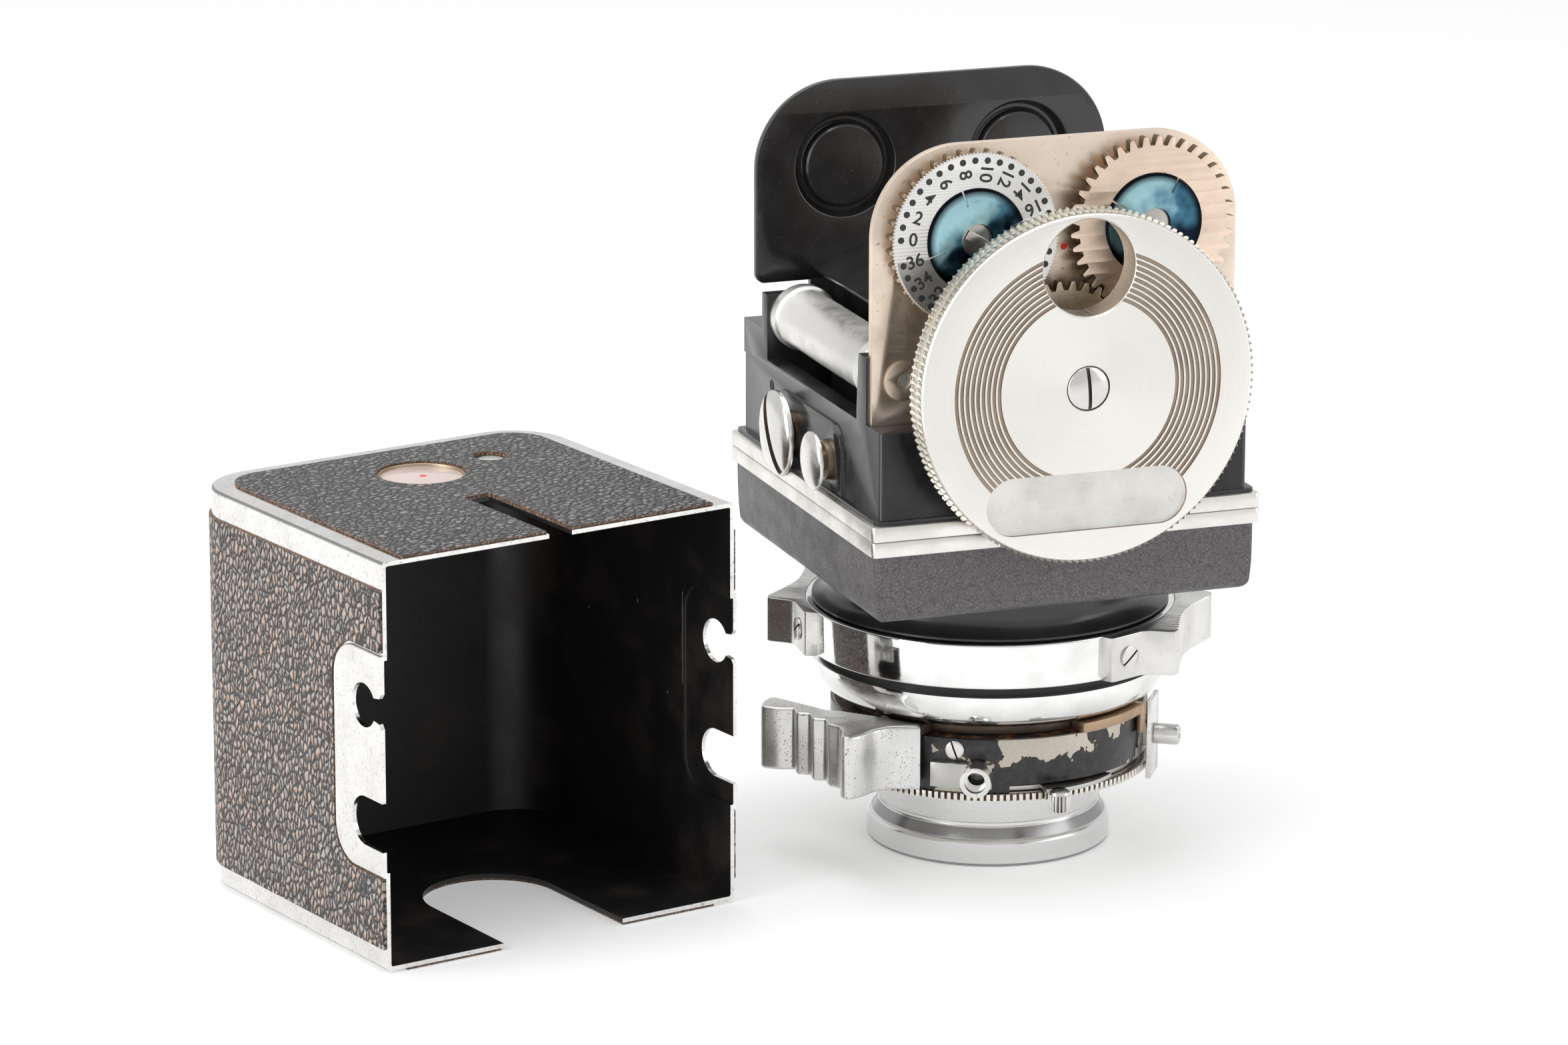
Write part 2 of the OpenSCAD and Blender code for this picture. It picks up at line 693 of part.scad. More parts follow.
// Black plate with a pressed cup for each cassette and a stem that stands in the housing
module back_plate() color([0.1, 0.1, 0.1]) difference() {
    union() {
        facing(-back_y, back_t) plate_outline(z_sill + cheek_top + 0.3);
        facing(-back_y, back_t) translate([-stem_hw, z_body + 2]) square([2 * stem_hw, 30]);
        for (x = [-1, 1]) translate([x * spool_x, back_y, z_spool]) rotate([-90, 0, 0])
            cylinder(r = cup_r, h = back_t + cup_deep);
    }
    for (x = [-1, 1]) translate([x * spool_x, back_y - cut, z_spool]) rotate([-90, 0, 0]) difference() {
        cylinder(r = cup_r - 0.9, h = cut + cup_deep);
        cylinder(r = cup_r - 2.2, h = cut + 3);
    }
}
cup_r = 8.2;
cup_deep = 1.4;

module tripod_bush() color("silver") translate([0, back_y + back_t, z_wheel]) rotate([-90, 0, 0])
    tube(bush_r, tripod_r, 0, bush_len);
bush_len = 4.4;

// Gears and wheel

// Teeth with straight flanks, one tooth centred on the given angle
module gear_outline(teeth, phase) {
    pitch_r = gear_module * teeth / 2;
    step = 360 / teeth;
    tip = pitch_r + 0.9 * gear_module;
    root = pitch_r - 1.15 * gear_module;
    polygon([for (i = [0:teeth - 1], k = [[root, -0.33], [tip, -0.12], [tip, 0.12], [root, 0.33]])
        polar(k[0], phase + (i + k[1]) * step)]);
}

// Angle of a spool gear's tooth that puts a gap where the drive gear has a tooth
function mesh_phase(a) = let (
    drive_step = 360 / drive_teeth,
    spool_step = 360 / spool_teeth,
    behind = (a / drive_step) - floor(a / drive_step)
) a + 180 + (behind + 0.5) * spool_step;

module drive_gear() color("darkkhaki") translate([0, 0, z_wheel]) facing(gear_face, gear_t) difference() {
    gear_outline(drive_teeth, 0);
    circle(shaft_r);
}

module spool_gear(a, x) translate([x, 0, z_spool]) facing(gear_face, gear_t) difference() {
    gear_outline(spool_teeth, mesh_phase(a));
    circle(spindle_r);
}
module counter_gear() color("darkkhaki") spool_gear(180 - mesh_angle, -spool_x);
module takeup_gear() color("tan") spool_gear(mesh_angle, spool_x);

module counter_dial() color("gainsboro") translate([-spool_x, 0, z_spool])
    facing(dial_face, dial_t) difference() {
        circle(dial_r);
        circle(spindle_r);
    }

// Domed spring washer with four short slots
module dome(face, turn) rotate([90, 0, 0]) translate([0, 0, face]) difference() {
    rotate_extrude() polygon([
        [spindle_r, 0], [dome_r, 0], [dome_r, 0.15], [dome_r * 0.85, dome_h * 0.6],
        [dome_r * 0.65, dome_h * 0.9], [dome_r * 0.45, dome_h], [spindle_r, dome_h]
    ]);
    for (a = [0:90:270]) rotate(turn + a) translate([dome_r - 2.4, -0.15, -cut]) cube([4, 0.3, 4]);
}
module counter_dome() color("steelblue") translate([-spool_x, 0, z_spool]) dome(dial_face, 17);
module takeup_dome() color("steelblue") translate([spool_x, 0, z_spool]) dome(gear_face, 59.5);

// Spindle through the plate with a cross blade for the cassette's spool
module spool_fork(face) rotate([90, 0, 0]) union() {
    translate([0, 0, plate_y - plate_t - 1.5])
        cylinder(r = spindle_r, h = face + 0.1 - plate_y + plate_t + 1.5);
    translate([-spindle_r + 0.3, -0.6, plate_y - plate_t - 6]) cube([2 * spindle_r - 0.6, 1.2, 5]);
    translate([0, 0, plate_y + 0.2]) cylinder(r = spindle_r + 1.5, h = gear_face - gear_t - plate_y - 0.2);
}
module supply_fork() color("dimgray") translate([-spool_x, 0, z_spool]) {
    spool_fork(dial_face);
    rotate([90, 0, 0]) rotate(60) translate([-0.7, -1.9, dial_face]) cube([1.4, 3.8, dome_h]);
    rotate([90, 0, 0]) translate([0, 0, gear_face])
        cylinder(r = spindle_r + 2, h = dial_face - dial_t - gear_face);
}
module takeup_fork() color("dimgray") translate([spool_x, 0, z_spool]) spool_fork(gear_face + 0.2);

module wheel_shaft() color("silver") translate([0, 0, z_wheel]) rotate([90, 0, 0]) union() {
    translate([0, 0, cheek_front + 0.1]) cylinder(r = shaft_r, h = wheel_y - 1.6 - cheek_front - 0.1);
    translate([0, 0, plate_y + 0.2]) cylinder(r = shaft_r + 2.5, h = gear_face - gear_t - plate_y - 0.2);
}

// Wheel with a finger hole, fine rings on both sides and a flat pocket below
module advance_wheel() color("gainsboro") translate([0, -wheel_y, z_wheel]) rotate([-90, 0, 0])
    difference() {
        cylinder(r = wheel_r, h = wheel_t);
        translate([0, -finger_up, -cut]) cylinder(r = finger_r, h = wheel_t + 2 * cut);
        translate([0, 0, -cut]) cylinder(r = shaft_r, h = wheel_t + 2 * cut);
        translate([0, 0, -cut]) cylinder(r = seat_r, h = cut + 0.6);
        translate([0, pocket_down, -cut]) linear_extrude(cut + 0.5) pocket_outline();
        translate([0, 0, wheel_t / 2]) tube(wheel_r + cut, wheel_r - 0.6, -0.35, 0.7);
    }
module pocket_outline() union() {
    square([pocket_w - pocket_h, pocket_h], center = true);
    for (x = [-1, 1]) translate([x * (pocket_w - pocket_h) / 2, 0]) circle(pocket_h / 2);
}
seat_r = 3.4;
pocket_w = 31.8;
pocket_h = 8.8;
pocket_down = 17.1;

module wheel_screw() color("silver") translate([0, -wheel_y + 0.6, z_wheel]) rotate([90, 0, 0]) union() {
    rotate(94) slotted_screw(seat_r - 0.05, 1.2);
    translate([0, 0, -1]) cylinder(r = shaft_r - 0.05, h = 1.05);
}

// Side fasteners

// Slotted disc on a neck that the shell's notch slips over
module clamp_disc() translate([0, disc_y, z_side]) rotate([0, 90, 0]) union() {
    translate([0, 0, house_w / 2 - 2]) cylinder(r = disc_pin_r, h = 3);
    translate([0, 0, house_w / 2 + pad_t + 0.05])
        cylinder(r = neck_disc_r, h = disc_seat - house_w / 2 - pad_t);
    translate([0, 0, disc_seat]) rotate(60) difference() {
        intersection() {
            cylinder(r = disc_r, h = 1.9);
            translate([0, 0, 1.9 - 22]) sphere(r = 22);
        }
        translate([-disc_r - cut, -0.75, 0.8]) cube([2 * (disc_r + cut), 1.5, 2]);
    }
}
module clamp_disc_right() color("silver") clamp_disc();
module clamp_disc_left() color("silver") mirror([1, 0, 0]) clamp_disc();

// Round-headed stud: pushed in, its waist lies in the shell's wall and the keyhole's mouth slips over it
module lock_stud() translate([0, -stud_y, z_side]) rotate([0, 90, 0]) union() {
    translate([0, 0, house_w / 2 - 2]) cylinder(r = neck_stud_r, h = 2 + pad_t + 0.9);
    translate([0, 0, house_w / 2]) cylinder(r = waist_r, h = pad_t + 2);
    translate([0, 0, house_w / 2 + pad_t + 1.95]) intersection() {
        cylinder(r = stud_r, h = 1.5);
        translate([0, 0, 1.5 - 9.5]) sphere(r = 9.5);
    }
}
module lock_stud_right() color("silver") lock_stud();
module lock_stud_left() color("silver") mirror([1, 0, 0]) lock_stud();

// Film shell, drawn in its own frame: x across, y from the open edge inwards, z up as it stands

module shell_place() translate([shell_x, shell_y, leather_t]) rotate(shell_turn) children();

// Camera place (depth, height) as a place on the shell's side wall
function on_side(y, z) = [z - z_body, shell_h / 2 - y];

module shell_outline(grow) union() {
    r = shell_corner + grow;
    translate([-grow, 0]) square([shell_w + 2 * grow, shell_depth + grow - r]);
    translate([-grow + r, 0]) square([shell_w + 2 * grow - 2 * r, shell_depth + grow]);
    for (x = [-grow + r, shell_w + grow - r]) translate([x, shell_depth + grow - r]) circle(r);
}

// A round hole straight through both side walls, and its mouth to the open edge
module through_sides(y, r, mouth) translate([-5, on_side(y, z_side)[0], on_side(y, z_side)[1]]) {
    rotate([0, 90, 0]) cylinder(r = r, h = shell_w + 10);
    translate([0, -cut - side_up, -mouth / 2]) cube([shell_w + 10, cut + side_up, mouth]);
}

module tab_outline(grow) intersection() {
    translate([0, (tab_from + tab_to) / 2 - leather_t])
        rounded(2 * (tab_depth + grow), tab_to - tab_from + 2 * grow, tab_round + grow);
    translate([-0.01, 0]) square([40, 70]);
}

module shell_box() color("silver") shell_place() difference() {
    union() {
        linear_extrude(shell_h) shell_outline(0);
        translate([-pad_t, 0, 0]) rotate([90, 0, 90]) linear_extrude(shell_w + 2 * pad_t) tab_outline(0);
    }
    translate([0, 0, shell_t]) linear_extrude(shell_h - 2 * shell_t) shell_inside();
    translate([-pad_t + shell_t, 0, 0]) rotate([90, 0, 90])
        linear_extrude(shell_w + 2 * pad_t - 2 * shell_t) tab_outline(-shell_t);
    translate([-pad_t + shell_t, -cut, tab_from - leather_t + shell_t])
        cube([shell_w + 2 * pad_t - 2 * shell_t, cut + 3, tab_to - tab_from - 2 * shell_t]);
    through_sides(-stud_y, keyhole_r, keyhole_mouth);
    through_sides(disc_y, notch_r, 2 * notch_r);
    front_cuts(0);
    back_cut(0);
}

module shell_inside() difference() {
    translate([shell_t, -cut]) square([shell_w - 2 * shell_t, shell_depth - shell_t + cut]);
    for (x = [0, 1]) translate([x * shell_w, shell_depth]) mirror([x, 0]) corner_fill();
}
// What a round inner corner leaves outside it
module corner_fill() difference() {
    translate([-1, -shell_corner]) square([shell_corner + 1, shell_corner + 1]);
    translate([shell_corner, -shell_corner]) circle(shell_corner - shell_t);
}

// Slot for the wheel's shaft and the two windows, in the wall that faces the wheel
module front_cuts(grow) translate([shell_w / 2, 0, shell_h / 2]) {
    translate([-slot_w / 2 - grow, -cut, 0]) cube([slot_w + 2 * grow, slot_depth + cut, shell_h]);
    translate([0, index_up, 0]) cylinder(r = window_r + grow, h = shell_h);
    translate([spool_x - 0.6, z_spool - z_body, 0]) cylinder(r = peep_r + grow, h = shell_h);
}
index_up = wheel_up + finger_up + 0.7;

// Arch that goes round the tripod bush, in the wall at the back
module back_cut(grow) translate([shell_w / 2, wheel_up, -cut]) {
    cylinder(r = u_r + grow, h = 2 * cut + shell_t);
    translate([-u_r - grow, -40, 0]) cube([2 * (u_r + grow), 40, 2 * cut + shell_t]);
}

module shell_leather_wrap() color([0.16, 0.13, 0.12]) shell_place() difference() {
    translate([0, 0, rim_low]) linear_extrude(shell_h - rim_low - rim_top) difference() {
        shell_outline(leather_t);
        shell_outline(0);
        translate([-5, -cut]) square([shell_w + 10, cut + 0.3]);
    }
    translate([-5, 0, 0]) rotate([90, 0, 90]) linear_extrude(shell_w + 10) tab_outline(0.4);
}

// Leather of one flat wall, set in from the rims
module leather_sheet(z) translate([0, 0, z]) linear_extrude(leather_t) union() {
    r = shell_corner - edge_in;
    translate([edge_in, 0.2]) square([shell_w - 2 * edge_in, shell_depth - edge_in - r - 0.2]);
    translate([edge_in + r, 0.2]) square([shell_w - 2 * (edge_in + r), shell_depth - edge_in - 0.2]);
    for (x = [edge_in + r, shell_w - edge_in - r]) translate([x, shell_depth - edge_in - r]) circle(r);
}
module shell_leather_front() color([0.14, 0.12, 0.12]) shell_place() difference() {
    leather_sheet(shell_h);
    front_cuts(0.3);
}
module shell_leather_back() color([0.14, 0.12, 0.12]) shell_place() difference() {
    leather_sheet(-leather_t);
    back_cut(0.3);
}

module index_window() color("mistyrose", 0.5) shell_place()
    translate([shell_w / 2, index_up, shell_h - shell_t]) cylinder(r = window_r - 0.02, h = shell_t - 0.05);
module gear_window() color("white", 0.5) shell_place()
    translate([shell_w / 2 + spool_x - 0.6, z_spool - z_body, shell_h - shell_t])
        cylinder(r = peep_r - 0.02, h = shell_t);

shell_box();
shell_leather_wrap();
shell_leather_front();
shell_leather_back();
index_window();
gear_window();
film_housing();
frame_upper();
frame_lower();
lens_box();
neck_dish();
mount_drum();
lock_ring();
lock_grip_left();
lock_grip_right();
grip_screws();
bowl_ring();
grip_handle();
shutter_housing();
cover_band();
cover_screws();
speed_ring();
aperture_lever();
release_socket();
release_plunger();
release_lever();
sync_plate();
sync_post();
lens_barrel();
front_ring();
front_glass();
rear_glass();
shutter_blade(0);  // shutter_blade_1
shutter_blade(1);  // shutter_blade_2
shutter_blade(2);  // shutter_blade_3
shutter_blade(3);  // shutter_blade_4
shutter_blade(4);  // shutter_blade_5
advance_wheel();
wheel_screw();
wheel_shaft();
drive_gear();
counter_gear();
counter_dial();
counter_dome();
supply_fork();
takeup_gear();
takeup_dome();
takeup_fork();
gear_plate();
back_plate();
plate_bushes();
roller_left();
roller_right();
film_roof();
pressure_plate();
clamp_disc_left();
clamp_disc_right();
lock_stud_left();
lock_stud_right();
tripod_bush();
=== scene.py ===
"""Looks of the camera and its film shell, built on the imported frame. Lengths here are in millimetres
in the frame's axes, and each piece is scaled to metres when it is placed."""
import json
import math

import bmesh
import bpy
from mathutils import Matrix, Vector

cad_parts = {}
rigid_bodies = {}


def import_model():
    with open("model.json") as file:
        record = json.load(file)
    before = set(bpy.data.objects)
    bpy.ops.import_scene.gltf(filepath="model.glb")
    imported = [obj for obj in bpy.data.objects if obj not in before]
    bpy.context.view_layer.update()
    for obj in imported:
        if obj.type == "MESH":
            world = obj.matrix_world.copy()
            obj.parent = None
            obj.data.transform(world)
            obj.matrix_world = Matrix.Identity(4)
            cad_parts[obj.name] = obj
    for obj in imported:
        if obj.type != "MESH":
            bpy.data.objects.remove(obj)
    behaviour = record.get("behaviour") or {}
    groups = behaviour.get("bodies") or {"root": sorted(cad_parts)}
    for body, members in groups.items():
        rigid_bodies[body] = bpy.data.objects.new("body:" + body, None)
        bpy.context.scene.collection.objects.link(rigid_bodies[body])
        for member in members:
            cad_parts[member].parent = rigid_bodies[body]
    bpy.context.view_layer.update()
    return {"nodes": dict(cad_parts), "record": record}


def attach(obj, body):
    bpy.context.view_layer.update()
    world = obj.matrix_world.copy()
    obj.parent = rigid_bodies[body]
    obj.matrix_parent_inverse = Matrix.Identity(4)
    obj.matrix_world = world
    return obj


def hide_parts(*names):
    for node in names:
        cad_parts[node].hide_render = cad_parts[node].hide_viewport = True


MM = 0.001
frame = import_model()
RECORD = frame["record"]
NODE_BODY = {node: body for body, nodes in RECORD["behaviour"]["bodies"].items() for node in nodes}

# Heights and places shared with the frame
WHEEL_Z = 79.4
SPOOL_X = 14.3
GEAR_MODULE = 0.68
WHEEL_TEETH, SPOOL_TEETH = 39, 37
SPOOL_Z = WHEEL_Z + math.sqrt((GEAR_MODULE * (WHEEL_TEETH + SPOOL_TEETH) / 2) ** 2 - SPOOL_X ** 2)
SIDE_Z = 63.95
BODY_Z = 59.1
PLATE_Y = 25
GEAR_FACE = 28.2
DIAL_FACE = 29.4
SEAT_Y = 37.9
LOCK_Z = 30.95
LOCK_H = 6.9
LOCK_R = 28.3
GRIP_ANGLE = -37
FRONT_AXIS = (1, 0, 1)


# Shapes

def polar(r, degrees, centre=(0, 0)):
    a = math.radians(degrees)
    return (centre[0] + r * math.cos(a), centre[1] + r * math.sin(a))


def arc(r, start, end, steps, centre=(0, 0)):
    return [polar(r, start + (end - start) * i / steps, centre) for i in range(steps + 1)]


def circle(r, centre=(0, 0), steps=96):
    return [polar(r, 360 * i / steps, centre) for i in range(steps)]


def oval(rx, ry, degrees, centre):
    """Points of an ellipse at the angles given."""
    angles = [math.radians(a) for a in degrees]
    return [(centre[0] + rx * math.cos(a), centre[1] + ry * math.sin(a)) for a in angles]


def rounded_top(x0, x1, y1, r, steps=8):
    """The upper two corners of a rounded rectangle."""
    return arc(r, 0, 90, steps, (x1 - r, y1 - r)) + arc(r, 90, 180, steps, (x0 + r, y1 - r))


def rounded_bottom(x0, x1, y0, r, steps=8):
    return arc(r, 180, 270, steps, (x0 + r, y0 + r)) + arc(r, 270, 360, steps, (x1 - r, y0 + r))


def rounded_corners(points, radius, steps=3):
    """The closed outline with each corner rounded, by one radius or by one for each corner."""
    radii = radius if isinstance(radius, (list, tuple)) else [radius] * len(points)
    result = []
    for i, (point, r) in enumerate(zip(points, radii)):
        p = Vector(point)
        before = Vector(points[i - 1]) - p
        after = Vector(points[(i + 1) % len(points)]) - p
        reach = min(r, before.length * 0.45, after.length * 0.45)
        if reach < 1e-3:
            result.append(tuple(p))
            continue
        a = p + before.normalized() * reach
        b = p + after.normalized() * reach
        for k in range(steps + 1):
            t = k / steps
            result.append(tuple(a * (1 - t) ** 2 + p * (2 * t * (1 - t)) + b * t ** 2))
    return result


def rotation(degrees, axis="Z"):
    return Matrix.Rotation(math.radians(degrees), 4, axis)


def lift(height):
    return Matrix.Translation((0, 0, height))


def facing_front(x, z):
    """Local x, y, z become the frame's X, Z and forward, about an axis that points at the viewer."""
    return Matrix.Translation((x, 0, z)) @ rotation(90, "X")


def facing_side(y, z, side):
    """Local z becomes outward to the left or right of the camera."""
    return Matrix.Translation((0, y, z)) @ rotation(90 * side, "Y")


def radial(degrees, z):
    """Local z points outward from the lens axis, and local y points up."""
    return lift(z) @ rotation(degrees) @ rotation(90, "Y")


def turned(profile, steps=160, marks=()):
    """A closed profile of (radius, height) turned about z, where a point on the axis is a single corner.
    marks maps profile edges to material numbers."""
    bm = bmesh.new()
    marks = dict(marks)
    rings = []
    for r, h in profile:
        count = steps if r > 1e-6 else 1
        rings.append([bm.verts.new((*polar(r, 360 * k / steps), h)) for k in range(count)])
    for i, low in enumerate(rings):
        high = rings[(i + 1) % len(rings)]
        if len(low) == 1 and len(high) == 1:
            continue
        for k in range(steps):
            n = (k + 1) % steps
            corners = [low[k % len(low)], low[n % len(low)], high[n % len(high)], high[k % len(high)]]
            bm.faces.new(list(dict.fromkeys(corners))).material_index = marks.get(i, 0)
    bmesh.ops.recalc_face_normals(bm, faces=bm.faces)
    return bm


def linked(name, data):
    obj = bpy.data.objects.new(name, data)
    bpy.context.scene.collection.objects.link(obj)
    return obj


def bare_object(bm, name="shape"):
    mesh = bpy.data.meshes.new(name)
    bm.to_mesh(mesh)
    bm.free()
    return linked(name, mesh)


def applied(obj):
    """The object's shape with its modifiers, as a new shape. The object goes."""
    bpy.context.view_layer.update()
    mesh = bpy.data.meshes.new_from_object(obj.evaluated_get(bpy.context.evaluated_depsgraph_get()))
    bm = bmesh.new()
    bm.from_mesh(mesh)
    bpy.data.batch_remove((obj, obj.data, mesh))
    return bm


def plate(outlines, bottom, top, bevel=0.1, segments=1):
    """Outlines and the holes in them, as a plate from bottom to top with softened edges."""
    curve = bpy.data.curves.new("outline", "CURVE")
    curve.dimensions = "2D"
    curve.fill_mode = "BOTH"
    curve.extrude = (top - bottom) / 2 - bevel
    curve.bevel_depth = bevel
    curve.bevel_resolution = segments
    curve.offset = -bevel
    for outline in outlines:
        spline = curve.splines.new("POLY")
        spline.points.add(len(outline) - 1)
        for point, at in zip(spline.points, outline):
            point.co = (*at, 0, 1)
        spline.use_cyclic_u = True
    bm = applied(linked("outline", curve))
    bmesh.ops.remove_doubles(bm, verts=bm.verts, dist=1e-4)
    return moved(bm, lift((top + bottom) / 2))


def block(low, high, bevel=0.1, segments=2):
    bm = bmesh.new()
    bmesh.ops.create_cube(bm, size=1)
    size = [b - a for a, b in zip(low, high)]
    middle = [(a + b) / 2 for a, b in zip(low, high)]
    bm.transform(Matrix.Translation(middle) @ Matrix.Diagonal((*size, 1)))
    bmesh.ops.bevel(bm, geom=bm.edges[:], offset=bevel, segments=segments, profile=0.5, affect="EDGES")
    return bm


def joined(*pieces):
    """Several shapes as one, kept side by side."""
    result = pieces[0]
    for piece in pieces[1:]:
        mesh = bpy.data.meshes.new("part")
        piece.to_mesh(mesh)
        piece.free()
        result.from_mesh(mesh)
        bpy.data.meshes.remove(mesh)
    return result


def moved(bm, *matrices):
    for matrix in matrices:
        bm.transform(matrix)
    return bm


def painted(bm, number, where=lambda face: True):
    """Gives the faces that pass the test the material with this number."""
    for face in bm.faces:
        if where(face):
            face.material_index = number
    return bm


def sides_painted(bm, number):
    """Gives the faces that stand on edge a material of their own."""
    bm.normal_update()
    return painted(bm, number, lambda face: abs(face.normal.z) < 0.6)


def off_axis(face, centre=(0, 0)):
    """How far the face's middle is from an upright axis."""
    return (face.calc_center_median().xy - Vector(centre)).length


def combined(bm, others, operation):
    """The shape with others cut from it or added to it. Material numbers stay with their faces."""
    slots = [bpy.data.materials.new("carve") for _ in range(4)]
    base = bare_object(bm)
    tools = [bare_object(other) for other in others]
    for obj in [base] + tools:
        for slot in slots:
            obj.data.materials.append(slot)
    for tool in tools:
        step = base.modifiers.new("step", "BOOLEAN")
        step.operation = operation
        step.solver = "EXACT"
        step.object = tool
    result = applied(base)
    bpy.data.batch_remove([*tools, *(tool.data for tool in tools), *slots])
    return result


def carved(bm, *cutters):
    return combined(bm, cutters, "DIFFERENCE")


def bevelled(bm, width, segments=2, angle=30, edge_material=-1):
    obj = bare_object(bm)
    for _ in range(edge_material + 1):
        obj.data.materials.append(None)
    bevel = obj.modifiers.new("bevel", "BEVEL")
    bevel.width = width
    bevel.segments = segments
    bevel.limit_method = "ANGLE"
    bevel.angle_limit = math.radians(angle)
    bevel.use_clamp_overlap = True
    bevel.material = edge_material
    return applied(obj)


def cad_shape(node):
    """A copy of a CAD node's shape in millimetres, with its flat faces whole again."""
    bm = bmesh.new()
    bm.from_mesh(frame["nodes"][node].data)
    bm.transform(Matrix.Scale(1 / MM, 4))
    bmesh.ops.remove_doubles(bm, verts=bm.verts, dist=1e-3)
    bmesh.ops.dissolve_limit(bm, angle_limit=math.radians(0.6), verts=bm.verts, edges=bm.edges)
    return painted(bm, 0)


def place(bm, node, *materials, name=None, stands_for=(), smooth=32):
    """Puts the shape in the scene, riding with its node's body and standing for the nodes given."""
    obj = bare_object(bm, name or node + "_look")
    obj.data.transform(Matrix.Scale(MM, 4))
    for material in materials:
        obj.data.materials.append(M[material])
    obj.data.shade_smooth()
    obj.data.set_sharp_from_angle(angle=math.radians(smooth))
    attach(obj, NODE_BODY[node])
    if stands_for:
        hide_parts(*stands_for)


def stand_in(bm, node, *materials, **options):
    place(bm, node, *materials, stands_for=(node,), **options)


# Materials

class Nodes:
    """Short calls for the nodes of a tree."""

    def __init__(self, owner):
        owner.use_nodes = True
        self.tree = owner.node_tree

    def feed(self, socket, value):
        if isinstance(value, bpy.types.NodeSocket):
            self.tree.links.new(value, socket)
        else:
            socket.default_value = value

    def node(self, kind, inputs=None, **settings):
        """A node with its settings, and with a value or a link for each input given."""
        made = self.tree.nodes.new("ShaderNode" + kind)
        for key, value in settings.items():
            setattr(made, key, value)
        for key, value in (inputs or {}).items():
            self.feed(made.inputs[key], value)
        return made

    def math(self, operation, a, b):
        return self.node("Math", {0: a, 1: b}, operation=operation).outputs[0]


class Paint(Nodes):
    """A material. Coordinates are the piece's own, in millimetres."""

    def __init__(self, name, color, metallic=0, roughness=0.5, **sockets):
        self.name = name
        self.material = bpy.data.materials.new(name)
        super().__init__(self.material)
        self.shader = self.tree.nodes["Principled BSDF"]
        self.color((*color, 1))
        self.metallic(metallic)
        self.roughness(roughness)
        for socket, value in sockets.items():
            self.feed(self.shader.inputs[socket.replace("_", " ")], value)
        self.place = self.vector("SCALE", self.node("TexCoord").outputs["Object"], scale=1 / MM)

    def vector(self, operation, a, b=None, scale=None):
        given = {key: value for key, value in ((0, a), (1, b), ("Scale", scale)) if value is not None}
        made = self.node("VectorMath", given, operation=operation)
        return made.outputs["Value" if operation in ("LENGTH", "DOT_PRODUCT") else "Vector"]

    def stretched(self, factors):
        return self.vector("MULTIPLY", self.place, factors)

    def noise(self, size, detail=3, rough=0.55, place=None, distortion=0):
        made = self.node("TexNoise", {"Vector": place or self.place, "Scale": 1 / size, "Detail": detail,
                                      "Roughness": rough, "Distortion": distortion})
        return made.outputs["Fac"]

    def cells(self, size, place):
        """Distance to the nearest edge between cells of the size."""
        made = self.node("TexVoronoi", {"Vector": place, "Scale": 1 / size}, feature="DISTANCE_TO_EDGE")
        return made.outputs["Distance"]

    def wobbled(self, size, amount):
        """The place, shaken by noise so that cells and lines aren't even."""
        made = self.node("TexNoise", {"Vector": self.place, "Scale": 1 / size})
        shifted = self.vector("SUBTRACT", made.outputs["Color"], (0.5, 0.5, 0.5))
        return self.vector("ADD", self.place, self.vector("SCALE", shifted, scale=amount))

    def ramp(self, value, low, high, start=0, end=1):
        """The value brought from low..high to start..end."""
        made = self.node("MapRange", {"Value": value, "From Min": low, "From Max": high,
                                      "To Min": start, "To Max": end})
        return made.outputs["Result"]

    def blend(self, share, a, b):
        a, b = (tone if isinstance(tone, bpy.types.NodeSocket) else (*tone, 1) for tone in (a, b))
        return self.node("Mix", {0: share, 6: a, 7: b}, data_type="RGBA").outputs[2]

    def color(self, value):
        self.feed(self.shader.inputs["Base Color"], value)

    def roughness(self, value):
        self.feed(self.shader.inputs["Roughness"], value)

    def metallic(self, value):
        self.feed(self.shader.inputs["Metallic"], value)

    def bump(self, height, depth, below=None):
        """Relief of the given depth in millimetres. below is another relief that this one lies on."""
        given = {"Strength": 1, "Distance": depth * MM, "Height": height}
        if below is not None:
            given["Normal"] = below
        relief = self.node("Bump", given).outputs["Normal"]
        self.feed(self.shader.inputs["Normal"], relief)
        return relief

    def about(self, centre, across=(1, 1, 1)):
        """Distance from centre, counted only in the directions where across is 1."""
        off = self.vector("SUBTRACT", self.place, centre)
        return self.vector("LENGTH", self.vector("MULTIPLY", off, across))


def metal(name, color, rough, scratch=0.1, spots=0, grain=0, strokes=0):
    """Plain metal with uneven gloss, fine scratches, dirt spots, a grainy surface and dark strokes."""
    paint = Paint(name, color, metallic=1, roughness=rough)
    cloud = paint.noise(6, 4)
    lines = paint.noise(0.7, 2, place=paint.stretched((0.15, 1, 2.2)))
    paint.roughness(paint.math("ADD", paint.ramp(cloud, 0.3, 0.7, rough * 0.75, rough * 1.3),
                               paint.ramp(lines, 0.55, 0.75, 0, scratch)))
    tone = paint.blend(paint.ramp(cloud, 0.35, 0.7, 0, 0.55), color, [0.72 * c for c in color])
    if strokes:
        marks = paint.noise(0.5, 4, 0.6, place=paint.stretched((0.5, 1.6, 0.9)), distortion=0.4)
        tone = paint.blend(paint.ramp(marks, 0.56, 0.68, 0, strokes), tone, [0.35 * c for c in color])
    if spots:
        dirt = paint.ramp(paint.noise(0.8, 5, 0.7), 0.62, 0.7, 0, spots)
        tone = paint.blend(dirt, tone, (0.1, 0.075, 0.05))
    paint.color(tone)
    below = paint.bump(lines, 0.004)
    if grain:
        paint.bump(paint.noise(0.18, 2), grain, below)
    return paint


